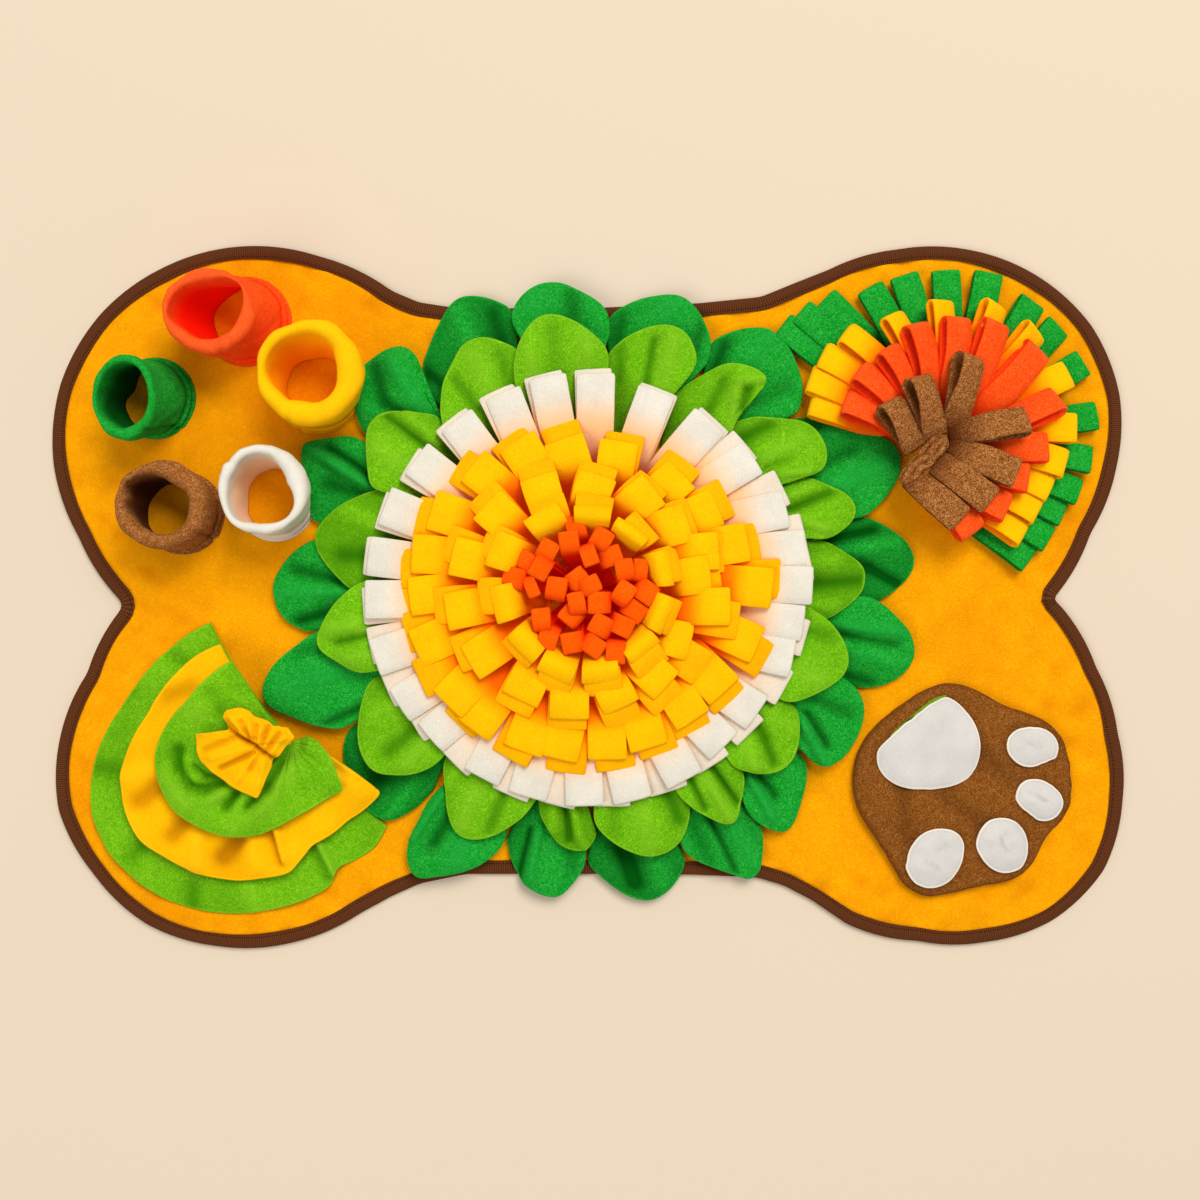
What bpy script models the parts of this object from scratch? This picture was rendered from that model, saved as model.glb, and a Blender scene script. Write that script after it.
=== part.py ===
"""A bone-shaped snuffle mat of polyester fleece, lying flat.

An orange fleece panel in a woven binding carries a big flower of petals and doubled strips,
five hollow fleece tubes, a gathered fan of three half-round sheets with a bow, a fan of fleece
loops, and a padded paw with appliqued pads.

Every length below is in millimetres and every angle in degrees, counter-clockwise from +X seen
from above. The frame's origin is the middle of the mat on its underside, +X along its length.
"""

import math

import bmesh
import bpy
import numpy as np

MM = 0.001  # metres in a millimetre
CENTRE = (0.12, -0.22, 0.0)  # the middle of the bounding box, which becomes the origin

# --- the panel and its binding ---------------------------------------------------------------
PANEL_TOP = 3.0  # the fleece panel is this thick
RIM_LOW, RIM_HIGH = 1.4, 3.2  # the panel's squeezed rim inside the binding
RIM_INSET = 2.0  # from the binding's outer edge to the panel's own edge
RIM_FLAT, RIM_SLOPE = 14.0, 17.0  # where the rim leaves the binding and comes down to the floor
BINDING_WIDTH = 13.3
BINDING_TOP = 4.8
SEAT = PANEL_TOP + 0.3  # what is sewn to the panel starts here
FLEECE = 1.8  # thickness of a petal or a fan sheet

# Each lobe of the bone: its centre, the angles its rim runs between, and the rim's distance
# from that centre at nine even steps between them.
LOBES = {
    "upper_right": ((287.0, 133.3), (-52, 121), (172, 159, 161, 166, 168, 166, 164, 163, 167)),
    "upper_left": ((-277.6, 123.2), (50, 228), (177, 173, 174, 175, 177, 177, 174, 169, 173)),
    "lower_left": ((-292.8, -136.4), (128, 308), (163, 149, 154, 160, 158, 161, 160, 162, 166)),
    "lower_right": ((305.6, -145.6), (-124, 58), (158, 148, 149, 154, 155, 148, 145, 151, 169)),
}
LOBE_STEPS = 20
# The two long waists between the lobes, from right to left above and left to right below.
WAIST_ABOVE = ((173, 265.5), (145, 254), (94, 248.8), (0, 244.5), (-75, 244.5), (-116, 245.5), (-142, 249.5))
WAIST_BELOW = ((-164, -252.7), (-141, -242.5), (-102, -234.5), (0, -234.5), (86, -235), (142, -237.5), (164, -244), (187, -256))

# --- the flower ------------------------------------------------------------------------------
FLOWER = (0.5, 5.5)  # its middle
PETAL_STEPS = 5
PETAL_CORNER = 65  # the round tip runs this far to each side
# Half width of a petal along its length, as a share of its widest, at even steps from the root.
PETAL_SHAPE = (0.26, 0.46, 0.72, 0.93, 1.0, math.sin(math.radians(PETAL_CORNER)))
PETAL_LAP = 4.5  # how far a petal's side lies above or below its middle, to lap its neighbour
PETAL_TROUGH = 0.8  # depth of the soft gather from the root

# Height of each layer's middle over the floor, against the distance from the flower's middle.
DARK_HEIGHT = ((150, 4.4), (165, 9.5), (185, 13.2), (300, 13.2))
LIGHT_HEIGHT = ((126, 4.4), (140, 14.0), (155, 22.0), (175, 28.5), (240, 28.0))

# Petals in clockwise order: angle, reach, width, and +1 where its far side lies over the next
# petal or -1 where it lies under it.
DARK_PETALS = (
    (95, 256, 82, 1), (75, 256, 85, 1), (52, 265, 83, 1), (24, 285, 81, 1), (6, 276, 75, -1),
    (-10, 278, 79, -1), (-27, 255, 79, 1), (-46, 261, 71, 1), (-59, 279, 79, 1),
    (-80, 265, 83, -1), (-97, 258, 68, -1), (-119, 278, 82, 1), (-135, 261, 78, -1),
    (-162, 280, 80, 1), (180, 263, 76, 1), (156, 252, 72, 1), (139, 250, 74, 1), (115, 268, 82, -1),
)
LIGHT_PETALS = (
    (95, 227, 78, 1), (74, 226, 74, 1), (50, 227, 74, 1), (31, 227, 74, 1), (17, 231, 58, 1),
    (3, 229, 68, -1), (-14, 221, 78, 1), (-40, 220, 66, 1), (-58, 226, 62, 1),
    (-76, 227, 81, 1), (-93, 216, 51, -1), (-113, 225, 76, -1), (-137, 228, 82, -1),
    (-168, 227, 81, 1), (171, 229, 81, -1), (146, 221, 70, -1), (119, 224, 72, -1),
)

# The rings of doubled strips. Each row is a strip's angle at its tip, its reach, and the number
# of strips that it rides over.
WHITE_STRIPS = (
    (2, 183, 1), (11, 181, 0), (23, 175, 0), (39, 173, 0), (55, 171, 0), (71, 172, 0),
    (88, 177, 0), (101, 178, 0), (114, 177, 0), (128, 177, 0), (143, 178, 0), (158, 181, 0),
    (171, 183, 0), (183, 183, 0), (197, 184, 0), (211, 182, 0), (224, 178, 0), (240, 178, 0),
    (254, 177, 0), (269, 177, 0), (282, 178, 0), (298, 176, 0), (311, 171, 0), (324, 173, 0),
    (341, 178, 0), (352, 179, 0),
)
YELLOW_OUTER_STRIPS = (
    (1, 157, 0), (17, 144, 0), (33, 136, 0), (52, 132, 0), (79, 131, 0), (99, 137, 0),
    (116, 141, 0), (134, 138, 0), (154, 147, 0), (170, 150, 0), (184, 145, 0), (200, 152, 0),
    (217, 152, 1), (230, 152, 0), (247, 151, 1), (260, 150, 0), (277, 148, 0), (291, 146, 0),
    (309, 144, 0), (324, 147, 0), (341, 156, 0),
)
YELLOW_MIDDLE_STRIPS = (
    (-8, 119, 0), (8, 99, 1), (18, 113, 0), (35, 99, 0), (58, 99, 0), (85, 101, 0),
    (112, 110, 0), (139, 110, 0), (164, 117, 0), (187, 119, 0), (211, 114, 0), (237, 108, 0),
    (261, 108, 0), (286, 105, 0), (308, 105, 0), (330, 104, 0),
)
YELLOW_INNER_STRIPS = (
    (-15, 65, 0), (16, 73, 0), (42, 68, 0), (55, 56, 1), (87, 60, 0), (123, 73, 0),
    (156, 88, 0), (187, 83, 0), (222, 74, 0), (250, 81, 0), (279, 80, 0), (312, 76, 0),
)
# Ring name: where its strips are sewn down, their width there, their width at the tip, and the
# layer's height against the distance from the flower's middle.
WHITE_RING = (104.0, 17.0, 31.0, ((104, 5), (113, 23), (134, 34), (184, 40)))
YELLOW_OUTER_RING = (82.0, 17.0, 32.0, ((82, 5), (90, 28), (108, 43), (157, 50)))
YELLOW_MIDDLE_RING = (60.0, 14.0, 31.0, ((60, 5), (66, 32), (80, 48), (119, 58)))
YELLOW_INNER_RING = (38.0, 13.0, 30.0, ((38, 5), (42, 34), (50, 51), (88, 64)))
STRIP_DEPTH = 5.0  # two thicknesses of fleece and the air between them
STRIP_STATIONS = (0.12, 0.4, 1.0)  # where along its reach a strip bends
STRIP_OVERLIFT = 6.0  # how much higher a strip lies that rides over its neighbours
BACKING_DEPTH = 6.0
BACKING_HEIGHT = 2.0

# The orange heart: short strips that stand in a square pitch on a round pad.
HEART_CELLS = 7
HEART_PITCH = 5.4
HEART_PAD_TOP = 12.0
HEART_TOP = 63.0
HEART_SPREAD = 2.25  # how far the strips lean outwards
HEART_STRIP = 7.0  # half width of a strip's top

# --- the fan of loops ------------------------------------------------------------------------
LOOP_FAN = (291.7, 128.1)  # where its four layers are gathered
LOOP_DEPTH = 6.0
# Layer name: sewing radius, root width, tip width, height, and its loops as angle and reach.
LOOP_GREEN = (
    (60.0, 10.0, 22.5, ((60, 5), (68, 8.2), (90, 8.2), (166, 8.2))),
    ((-51, 125), (-40, 124), (-29, 122), (-19, 127), (-6, 131), (10, 137), (29, 141), (44, 143),
     (56, 144), (73, 150), (86, 146), (98, 144), (112, 142), (127, 153), (136, 154)),
)
LOOP_YELLOW = (
    (44.0, 9.0, 23.0, ((44, 5), (50, 15), (62, 18), (126, 18.5))),
    ((-49, 105), (-36, 102), (-23, 101), (-10, 106), (6, 114), (28, 121), (51, 123), (69, 124),
     (90, 118), (110, 112), (130, 116), (143, 114), (155, 110)),
)
LOOP_CORAL = (
    (29.0, 8.0, 22.0, ((29, 5), (34, 22), (46, 28), (108, 28.5))),
    ((-74, 80), (-49, 78), (-23, 78), (-5, 84), (17, 97), (45, 107), (68, 103), (84, 101),
     (101, 97), (120, 86), (145, 82)),
)
LOOP_BROWN = (
    (14.0, 6.5, 21.0, ((14, 5), (18, 30), (30, 38), (75, 39))),
    ((-78, 68), (-52, 64), (-25, 64), (10, 70), (74, 72), (114, 59), (146, 57)),
)

# --- the layered fan with its bow --------------------------------------------------------------
FAN = (-248.0, -121.3)  # where its sheets are gathered
FAN_STEPS = 14
FAN_SHARES = (0.0, 0.09, 0.25, 0.62, 1.0)  # rings of a sheet between its gather and its edge
FAN_HUB = 9.0
FAN_WAVES = 5.5  # ruffles round the half circle
# Sheet name: colour, ruffle, its middle's height against the distance from the gather, and its
# edge as angle and reach.
FAN_SHEETS = {
    "fan_green_lower": ("light_green", 2.0, ((9, 4.4), (60, 5.4), (180, 7.6)), (
        (124, 122), (154, 134), (180, 160), (205, 178), (232, 168), (262, 142), (285, 122), (295, 112), (311, 110))),
    "fan_yellow": ("yellow", 2.4, ((9, 6.6), (18, 13.0), (36, 16.5), (150, 17.5)), (
        (125, 100), (150, 110), (169, 120), (183, 135), (207, 148), (236, 131), (272, 104), (283, 86), (307, 80), (331, 84))),
    "fan_green_upper": ("light_green", 2.8, ((9, 9.0), (17, 20.5), (34, 25.5), (110, 27.5)), (
        (124, 82), (156, 88), (174, 102), (190, 109), (210, 106), (238, 89), (272, 66), (300, 59), (319, 59), (331, 46))),
}
BOW = (-266.0, -124.0)
BOW_HEIGHT, BOW_DEPTH = 38.0, 3.2
# The bow's edge as angle and reach: two puffed ends and a lobe above the knot, a spread tail below.
BOW_EDGE = (
    (0, 21), (18, 27), (50, 25), (77, 22), (95, 26), (111, 35), (127, 42), (141, 39), (153, 20), (167, 54),
    (186, 52), (206, 46), (235, 45), (266, 40), (283, 14), (320, 11),
)

# --- the tubes -----------------------------------------------------------------------------------
TUBE_SIDES = 16
# Tube name: colour, foot (x, y, radius), rim (x, y, radius along x, radius along y), the wall's
# thickness at the rim, and the height.
TUBES = {
    "tube_coral": ("coral", (-288.0, 236.0, 35.0), (-302.0, 225.0, 36.0, 37.5), 8.0, 66.0),
    "tube_green": ("green", (-366.5, 166.0, 33.0), (-367.5, 160.0, 28.0, 33.5), 7.5, 66.0),
    "tube_yellow": ("yellow", (-236.0, 178.7, 38.0), (-224.0, 178.0, 42.0, 42.5), 14.0, 64.0),
    "tube_brown": ("brown", (-341.0, 72.0, 33.5), (-345.0, 73.5, 32.5, 36.0), 10.0, 60.0),
    "tube_white": ("white", (-265.0, 83.0, 30.0), (-263.0, 86.0, 34.5, 37.0), 10.0, 62.0),
}
TUBE_SEAM = 2.0  # how far the seam allowance stands out round the foot

# --- the paw -------------------------------------------------------------------------------------
PAW = (314.5, -161.0)
PAW_RIM_TOP, PAW_CROWN = 12.5, 3.5
PAW_SIDES = 28
PAW_EDGE = (
    (8, 90), (22, 93), (33, 94), (43, 87), (64, 76), (84, 84), (97, 91), (109, 90), (124, 87), (142, 90),
    (157, 94), (180, 93), (206, 84), (221, 84), (232, 90), (242, 97), (252, 96), (264, 86), (281, 81),
    (300, 87), (312, 86), (322, 81), (331, 77), (345, 89), (356, 91),
)
PAD_DEPTH, PAD_GAP = 2.0, 0.5
# The four toes: centre, radius along its own length and across, and the way its length points.
PAW_TOES = ((370.8, -125.5, 22, 16, 0), (375.5, -169.0, 20, 16.5, 30), (345.0, -206.0, 22, 21, 80), (290.0, -217.0, 24, 22, 65))
MAIN_PAD = (284.0, -124.0)
MAIN_PAD_EDGE = (
    (-14, 43), (8, 43), (36, 47), (56, 44), (75, 42), (100, 33), (130, 33), (160, 38), (193, 44), (222, 42), (240, 40),
    (265, 36), (300, 36), (322, 42),
)

COLOURS = {
    "orange": "FFA60A", "binding": "6B3417", "green": "0C8F26", "light_green": "6FB80F", "yellow": "FFC505",
    "coral": "FF5A28", "flame": "FF6A0A", "white": "EFEAE0", "brown": "96571F", "paw_brown": "8A4B18",
    "pad_white": "E4DFDA",
}
ROUGHNESS = {"binding": 0.7}
FLEECE_ROUGHNESS = 0.92


def linear(hex_colour):
    """The three linear values of an sRGB hex colour."""
    channels = [int(hex_colour[i:i + 2], 16) / 255 for i in (0, 2, 4)]
    return [c / 12.92 if c <= 0.04045 else ((c + 0.055) / 1.055) ** 2.4 for c in channels]


def material(node_name, colour):
    """A node's own cloth material."""
    cloth = bpy.data.materials.new(f"{node_name}_cloth")
    cloth.use_nodes = True
    shader = cloth.node_tree.nodes["Principled BSDF"]
    shader.inputs["Base Color"].default_value = (*linear(COLOURS[colour]), 1.0)
    shader.inputs["Roughness"].default_value = ROUGHNESS.get(colour, FLEECE_ROUGHNESS)
    shader.inputs["Metallic"].default_value = 0.0
    return cloth


def solid(name, points, faces, colour):
    """One closed body from points in millimetres and faces, with its faces turned outwards."""
    mesh = bpy.data.meshes.new(name)
    places = (np.asarray(points, float) - CENTRE) * MM
    mesh.from_pydata(places.tolist(), [], [list(map(int, face)) for face in faces])
    body = bmesh.new()
    body.from_mesh(mesh)
    bmesh.ops.recalc_face_normals(body, faces=body.faces)
    body.to_mesh(mesh)
    body.free()
    mesh.shade_smooth()
    mesh.set_sharp_from_angle(angle=math.radians(50))
    mesh.materials.append(material(name, colour))
    part = bpy.data.objects.new(name, mesh)
    bpy.context.scene.collection.objects.link(part)
    return part


def heading(angle):
    """The direction that an angle points, in the plane of the mat."""
    turn = np.radians(angle)
    return np.stack([np.cos(turn), np.sin(turn)], axis=-1)


def reach_at(edge, angle):
    """The reach of a closed edge, given as angles and reaches, at any angle."""
    angles, reaches = np.array(edge, float).T
    return np.interp(np.mod(angle, 360), np.mod(angles, 360), reaches, period=360)


def height_at(rows, distance):
    """The height of a layer at a distance from its middle."""
    distances, heights = np.array(rows, float).T
    return np.interp(distance, distances, heights)


def ease(share):
    """A smooth step from 0 to 1."""
    share = np.clip(share, 0, 1)
    return share * share * (3 - 2 * share)


def loft(rings):
    """Points and faces between rings of as many points each, the last ring joined to the first."""
    count = len(rings[0])
    faces = []
    for row in range(len(rings)):
        near, far = row * count, (row + 1) % len(rings) * count
        for i in range(count):
            j = (i + 1) % count
            faces.append((near + i, near + j, far + j, far + i))
    return np.concatenate(rings), faces


def sheet(name, middle, thickness, colour):
    """A closed sheet of cloth of one thickness on a grid of points of its middle surface."""
    rows, columns = middle.shape[:2]
    along = np.gradient(middle, axis=0)
    across = np.gradient(middle, axis=1)
    upright = np.cross(along, across)
    upright /= np.linalg.norm(upright, axis=2, keepdims=True)
    upright *= np.sign(upright[..., 2:3])
    half = upright * thickness / 2
    points = np.concatenate([(middle + half).reshape(-1, 3), (middle - half).reshape(-1, 3)])
    under = rows * columns
    faces = []
    for r in range(rows - 1):
        for c in range(columns - 1):
            corner = r * columns + c
            face = (corner, corner + 1, corner + columns + 1, corner + columns)
            faces += [face, tuple(k + under for k in reversed(face))]
    rim = [c for c in range(columns)] + [r * columns + columns - 1 for r in range(1, rows)]
    rim += [(rows - 1) * columns + c for c in reversed(range(columns - 1))]
    rim += [r * columns for r in reversed(range(1, rows - 1))]
    for k, near in enumerate(rim):
        far = rim[(k + 1) % len(rim)]
        faces.append((near, near + under, far + under, far))
    return solid(name, points, faces, colour)


def bone_outline():
    """The mat's outer edge, counter-clockwise: four uneven lobes and the two waists."""
    outline = []
    for lobe, waist in (("upper_right", WAIST_ABOVE), ("upper_left", ()), ("lower_left", WAIST_BELOW), ("lower_right", ())):
        centre, (start, end), reaches = LOBES[lobe]
        angles = np.linspace(start, end, LOBE_STEPS + 1)
        steps = np.linspace(0, len(reaches) - 1, LOBE_STEPS + 1)
        distances = np.interp(steps, range(len(reaches)), reaches)
        rim = np.array(centre) + heading(angles) * distances[:, None]
        outline += [*rim, *np.array(waist, float).reshape(-1, 2)]
    outline = np.array(outline)
    apart = np.linalg.norm(outline - np.roll(outline, 1, axis=0), axis=1) > 4
    return outline[apart]


def inset(outline, distance):
    """The outline moved inwards by a distance, along the mean of its two edges' normals."""
    before = outline - np.roll(outline, 1, axis=0)
    after = np.roll(outline, -1, axis=0) - outline
    normals = [np.stack([-edge[:, 1], edge[:, 0]], axis=1) / np.linalg.norm(edge, axis=1)[:, None] for edge in (before, after)]
    mean = normals[0] + normals[1]
    mean /= np.linalg.norm(mean, axis=1)[:, None]
    stretch = np.clip(np.sum(mean * normals[0], axis=1), 0.6, 1)
    return outline + mean * (distance / stretch)[:, None]


def level(outline, distance, height):
    """The outline, moved inwards, at one height."""
    ring = inset(outline, distance)
    return np.column_stack([ring, np.full(len(ring), height)])


def make_panel(outline):
    """The orange panel: flat below, its rim raised and squeezed to go into the binding."""
    rings = [
        level(outline, RIM_SLOPE, 0.0),
        level(outline, RIM_FLAT, RIM_LOW),
        level(outline, RIM_INSET, RIM_LOW),
        level(outline, RIM_INSET, RIM_HIGH),
        level(outline, RIM_SLOPE, PANEL_TOP),
    ]
    points, faces = loft(rings)
    count = len(outline)
    faces = faces[:-count]
    top = (len(rings) - 1) * count
    faces += [tuple(range(count)), tuple(range(top, top + count))]
    solid("base_panel", points, faces, "orange")


def make_binding(outline):
    """The woven tape folded over the panel's edge, as a C with its open side inwards."""
    section = (
        (0.0, 0.0), (0.0, 3.9), (1.4, BINDING_TOP), (BINDING_WIDTH, BINDING_TOP - 0.2),
        (BINDING_WIDTH, RIM_HIGH + 0.4), (1.6, RIM_HIGH + 0.4), (1.6, RIM_LOW - 0.4),
        (BINDING_WIDTH, RIM_LOW - 0.4), (BINDING_WIDTH, 0.0),
    )
    points, faces = loft([level(outline, distance, height) for distance, height in section])
    solid("edge_binding", points, faces, "binding")


def petal_surface(angle, reach, width, root, heights, near_side, far_side):
    """A petal's middle surface: gathered at its root, widening, with a round tip.

    Along it a point goes from the root to the tip's arc, and across it from the clockwise side
    to the other. Its height is the layer's, plus the lap of its two sides, minus the gather.
    """
    share = np.linspace(0, 1, PETAL_STEPS + 1)[:, None]
    across = np.linspace(-1, 1, PETAL_STEPS + 1)[None, :]
    corner = math.radians(PETAL_CORNER)
    half = width / 2
    shape = np.interp(share, np.linspace(0, 1, len(PETAL_SHAPE)), PETAL_SHAPE)
    tip = reach - half + half * np.cos(across * corner)
    along = root + share * (tip - root)
    aside = half * shape * np.sin(across * corner) / math.sin(corner)
    out, left = heading(angle), heading(angle + 90)
    plan = along[..., None] * out + aside[..., None] * left
    lap = (near_side * (1 + across) + far_side * (1 - across)) / 2
    height = height_at(heights, np.hypot(along, aside)) + PETAL_LAP * lap * ease(share / 0.35)
    height = height - PETAL_TROUGH * (1 - across ** 2) * ease(share / 0.2) * (1 - share)
    return np.concatenate([plan + np.array(FLOWER), height[..., None]], axis=2)


def make_petals(prefix, rows, root, heights, colour):
    """One ring of petals, each on its own node, lapped over or under its neighbours."""
    for number, (angle, reach, width, over_next) in enumerate(rows):
        over_last = -rows[number - 1][3]
        middle = petal_surface(angle, reach, width, root, heights, over_last, over_next)
        sheet(f"{prefix}_{number + 1:02d}", middle, FLEECE, colour)


def strip_stations(root_angle, tip_angle, reach, over, ring, depth):
    """The four corners of a strip's section at each place where it bends."""
    root_radius, root_width, tip_width, heights = ring
    corners = []
    last = np.array([root_radius, SEAT + BACKING_HEIGHT])
    for share in STRIP_STATIONS:
        radius = root_radius + (reach - root_radius) * share
        height = height_at(heights, radius) + STRIP_OVERLIFT * over * share ** 2
        here = np.array([radius, height])
        run = (here - last) / np.linalg.norm(here - last)
        up = np.array([-run[1], run[0]]) * depth / 2
        angle = root_angle + (tip_angle - root_angle) * share
        side = heading(angle + 90) * (root_width + (tip_width - root_width) * share ** 0.7) / 2
        for offset, turn in ((-up, -side), (up, -side), (up, side), (-up, side)):
            place = here + offset
            corners.append((*(heading(angle) * place[0] + turn), place[1]))
        last = here
    return np.array(corners)


def sector_ring(ring, roots):
    """A ring of sectors of a backing: four points, low and high, at both edges of every strip."""
    root_radius, root_width = ring[:2]
    half_sector = math.degrees(root_width / 2 / root_radius)
    inner, outer = root_radius - BACKING_DEPTH / 2, root_radius + BACKING_DEPTH / 2
    low, high = SEAT, SEAT + BACKING_HEIGHT
    points = []
    for root in roots:
        for cut in (root - half_sector, root + half_sector):
            for radius, height in ((inner, low), (outer, low), (outer, high), (inner, high)):
                points.append((*(heading(cut) * radius), height))
    return points


def sector_faces(cuts, first, closed, walls):
    """The sectors' faces: below, the walls asked for, and above where no strip grows."""
    faces = []
    for cut in range(cuts if closed else cuts - 1):
        a, b = first + cut * 4, first + (cut + 1) % cuts * 4
        sides = ((0, 1), *walls) if cut % 2 == 0 else ((0, 1), (2, 3), *walls)
        faces += [(a + i, a + j, b + j, b + i) for i, j in sides]
    if not closed:
        faces += [tuple(first + k for k in (3, 2, 1, 0)), tuple(first + 4 * (cuts - 1) + k for k in range(4))]
    return faces


def web(near, far, points):
    """Triangles between two closed rows of points round one centre, taken in turn by angle."""
    def turns(row):
        return [math.degrees(math.atan2(points[k][1], points[k][0])) for k in row]

    start = turns(near)[0]
    ahead = sorted(((turn - start) % 360, k) for turn, k in zip(turns(near), near))
    beside = sorted(((turn - start) % 360, k) for turn, k in zip(turns(far), far))
    faces = []
    i = j = 0
    while i < len(ahead) or j < len(beside):
        a, b = ahead[i % len(ahead)][1], beside[j % len(beside)][1]
        next_a = ahead[i + 1][0] if i + 1 < len(ahead) else 360
        next_b = beside[j + 1][0] if j + 1 < len(beside) else 360 + beside[0][0]
        if j >= len(beside) or (i < len(ahead) and next_a <= next_b):
            i += 1
            faces.append((a, ahead[i % len(ahead)][1], b))
        else:
            j += 1
            faces.append((a, beside[j % len(beside)][1], b))
    return faces


def make_strips(name, centre, rows_of_strips, depth, colour, closed):
    """A backing sewn round a centre, with strips or loops that grow out of its top.

    The backing is a narrow band, whole or open, or two bands joined by a web. It is cut into
    sectors, and every other sector's top carries a strip, which bends outwards over the rim.
    """
    points, faces, bands = [], [], []
    for band, (ring, rows) in enumerate(rows_of_strips):
        rows = sorted(rows)
        if closed:
            shift = np.mean([row[0] - 360 * k / len(rows) for k, row in enumerate(rows)])
            roots = [shift + 360 * k / len(rows) for k in range(len(rows))]
        else:
            roots = np.linspace(rows[0][0], rows[-1][0], len(rows))
        first = len(points)
        points += sector_ring(ring, roots)
        inside = () if band else ((3, 0),)
        outside = () if band + 1 < len(rows_of_strips) else ((1, 2),)
        cuts = 2 * len(rows)
        faces += sector_faces(cuts, first, closed, inside + outside)
        bands.append((first, cuts))
        for number, (angle, reach, *over) in enumerate(rows):
            corners = strip_stations(roots[number], angle, reach, over[0] if over else 0, ring, depth)
            a, b = first + number * 8, first + number * 8 + 4
            loop = [a + 2, a + 3, b + 3, b + 2]
            for station in range(len(STRIP_STATIONS)):
                start = len(points)
                points += [tuple(corner) for corner in corners[station * 4:station * 4 + 4]]
                ahead = [start + k for k in range(4)]
                faces += [(loop[k], loop[(k + 1) % 4], ahead[(k + 1) % 4], ahead[k]) for k in range(4)]
                loop = ahead
            faces.append(tuple(loop))
    for (near, near_cuts), (far, far_cuts) in zip(bands, bands[1:]):
        for near_row, far_row in ((2, 3), (1, 0)):
            near_ring = [near + 4 * k + near_row for k in range(near_cuts)]
            far_ring = [far + 4 * k + far_row for k in range(far_cuts)]
            faces += web(near_ring, far_ring, points)
    points = np.array(points)
    points[:, :2] += np.array(centre)
    solid(name, points, faces, colour)


def make_heart():
    """The flower's heart: a pad whose top is a square pitch, with a strip on every other cell."""
    count = HEART_CELLS
    lines = (np.arange(count + 1) - count / 2) * HEART_PITCH
    grid = [(x, y) for y in lines for x in lines]
    points = [(x, y, HEART_PAD_TOP) for x, y in grid] + [(x, y, SEAT) for x, y in grid]
    under = len(grid)
    faces = []
    for j in range(count):
        for i in range(count):
            corner = j * (count + 1) + i
            loop = [corner, corner + 1, corner + count + 2, corner + count + 1]
            faces.append(tuple(k + under for k in reversed(loop)))
            middle = np.array([lines[i] + HEART_PITCH / 2, lines[j] + HEART_PITCH / 2])
            if (i + j) % 2 or np.hypot(*middle) > count * HEART_PITCH * 0.53:
                faces.append(tuple(loop))
                continue
            for share, half in ((0.35, 0.6), (1.0, 1.0)):
                spread = 1 + (HEART_SPREAD - 1) * share
                height = HEART_PAD_TOP + (HEART_TOP - HEART_PAD_TOP) * (1 - (1 - share) ** 1.6)
                height -= 3.0 * share * (1 - np.hypot(*middle) / (count * HEART_PITCH))
                start = len(points)
                for dx, dy in ((-1, -1), (1, -1), (1, 1), (-1, 1)):
                    place = middle * spread + np.array([dx, dy * 0.7]) * HEART_STRIP * half
                    points.append((*place, height))
                ahead = [start + k for k in range(4)]
                faces += [(loop[k], loop[(k + 1) % 4], ahead[(k + 1) % 4], ahead[k]) for k in range(4)]
                loop = ahead
            faces.append(tuple(loop))
    ring = [i for i in range(count + 1)] + [j * (count + 1) + count for j in range(1, count + 1)]
    ring += [count * (count + 1) + i for i in reversed(range(count))]
    ring += [j * (count + 1) for j in reversed(range(1, count))]
    for k, near in enumerate(ring):
        far = ring[(k + 1) % len(ring)]
        faces.append((near, far, far + under, near + under))
    points = np.array(points)
    points[:, :2] += np.array(FLOWER)
    solid("strips_heart", points, faces, "flame")


def fan_height(name, turn, distance):
    """The height of a fan sheet's middle: its layer's rise, plus ruffles that grow outwards."""
    _, ruffle, rise, edge = FAN_SHEETS[name]
    share = (distance - FAN_HUB) / (reach_at(edge, turn) - FAN_HUB)
    return height_at(rise, distance) + np.sin(np.radians(turn) * FAN_WAVES) * ruffle * share ** 2


def make_fan():
    """Three half-round sheets gathered at one point, ruffled together towards their edges."""
    for name, (colour, _, _, edge) in FAN_SHEETS.items():
        turn = np.linspace(edge[0][0], edge[-1][0], FAN_STEPS + 1)[:, None]
        share = np.array(FAN_SHARES)[None, :]
        distance = FAN_HUB + share * (reach_at(edge, turn) - FAN_HUB)
        plan = heading(turn + 0 * share) * distance[..., None] + np.array(FAN)
        middle = np.concatenate([plan, fan_height(name, turn, distance)[..., None]], axis=2)
        sheet(name, middle, FLEECE, colour)


def make_bow():
    """The yellow bow, tied flat, with three lobes, a tail, and a knot that stands on the fan."""
    angles, reaches = np.array(BOW_EDGE, float).T
    plans = [heading(angles) * (reaches * share)[:, None] + np.array(BOW) for share in (1.0, 0.62, 0.2)]
    away = plans[2] - np.array(FAN)
    turn = np.mod(np.degrees(np.arctan2(away[:, 1], away[:, 0])), 360)
    under = fan_height("fan_green_upper", turn, np.hypot(*away.T))
    foot = under.max() + FLEECE / 2 + 0.4
    rings = []
    for plan, height in zip(reversed(plans), (BOW_HEIGHT - 2.5, BOW_HEIGHT + 1.5, BOW_HEIGHT)):
        rings.append(np.column_stack([plan, np.full(len(angles), height)]))
    for plan, height in zip(plans, (BOW_HEIGHT - BOW_DEPTH, BOW_HEIGHT + 1.5 - BOW_DEPTH, foot)):
        rings.append(np.column_stack([plan, np.full(len(angles), height)]))
    points, faces = loft(rings)
    count = len(angles)
    faces = faces[:-count]
    last = (len(rings) - 1) * count
    faces += [tuple(range(count)), tuple(range(last, last + count))]
    solid("fan_bow", points, faces, "yellow")


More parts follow.
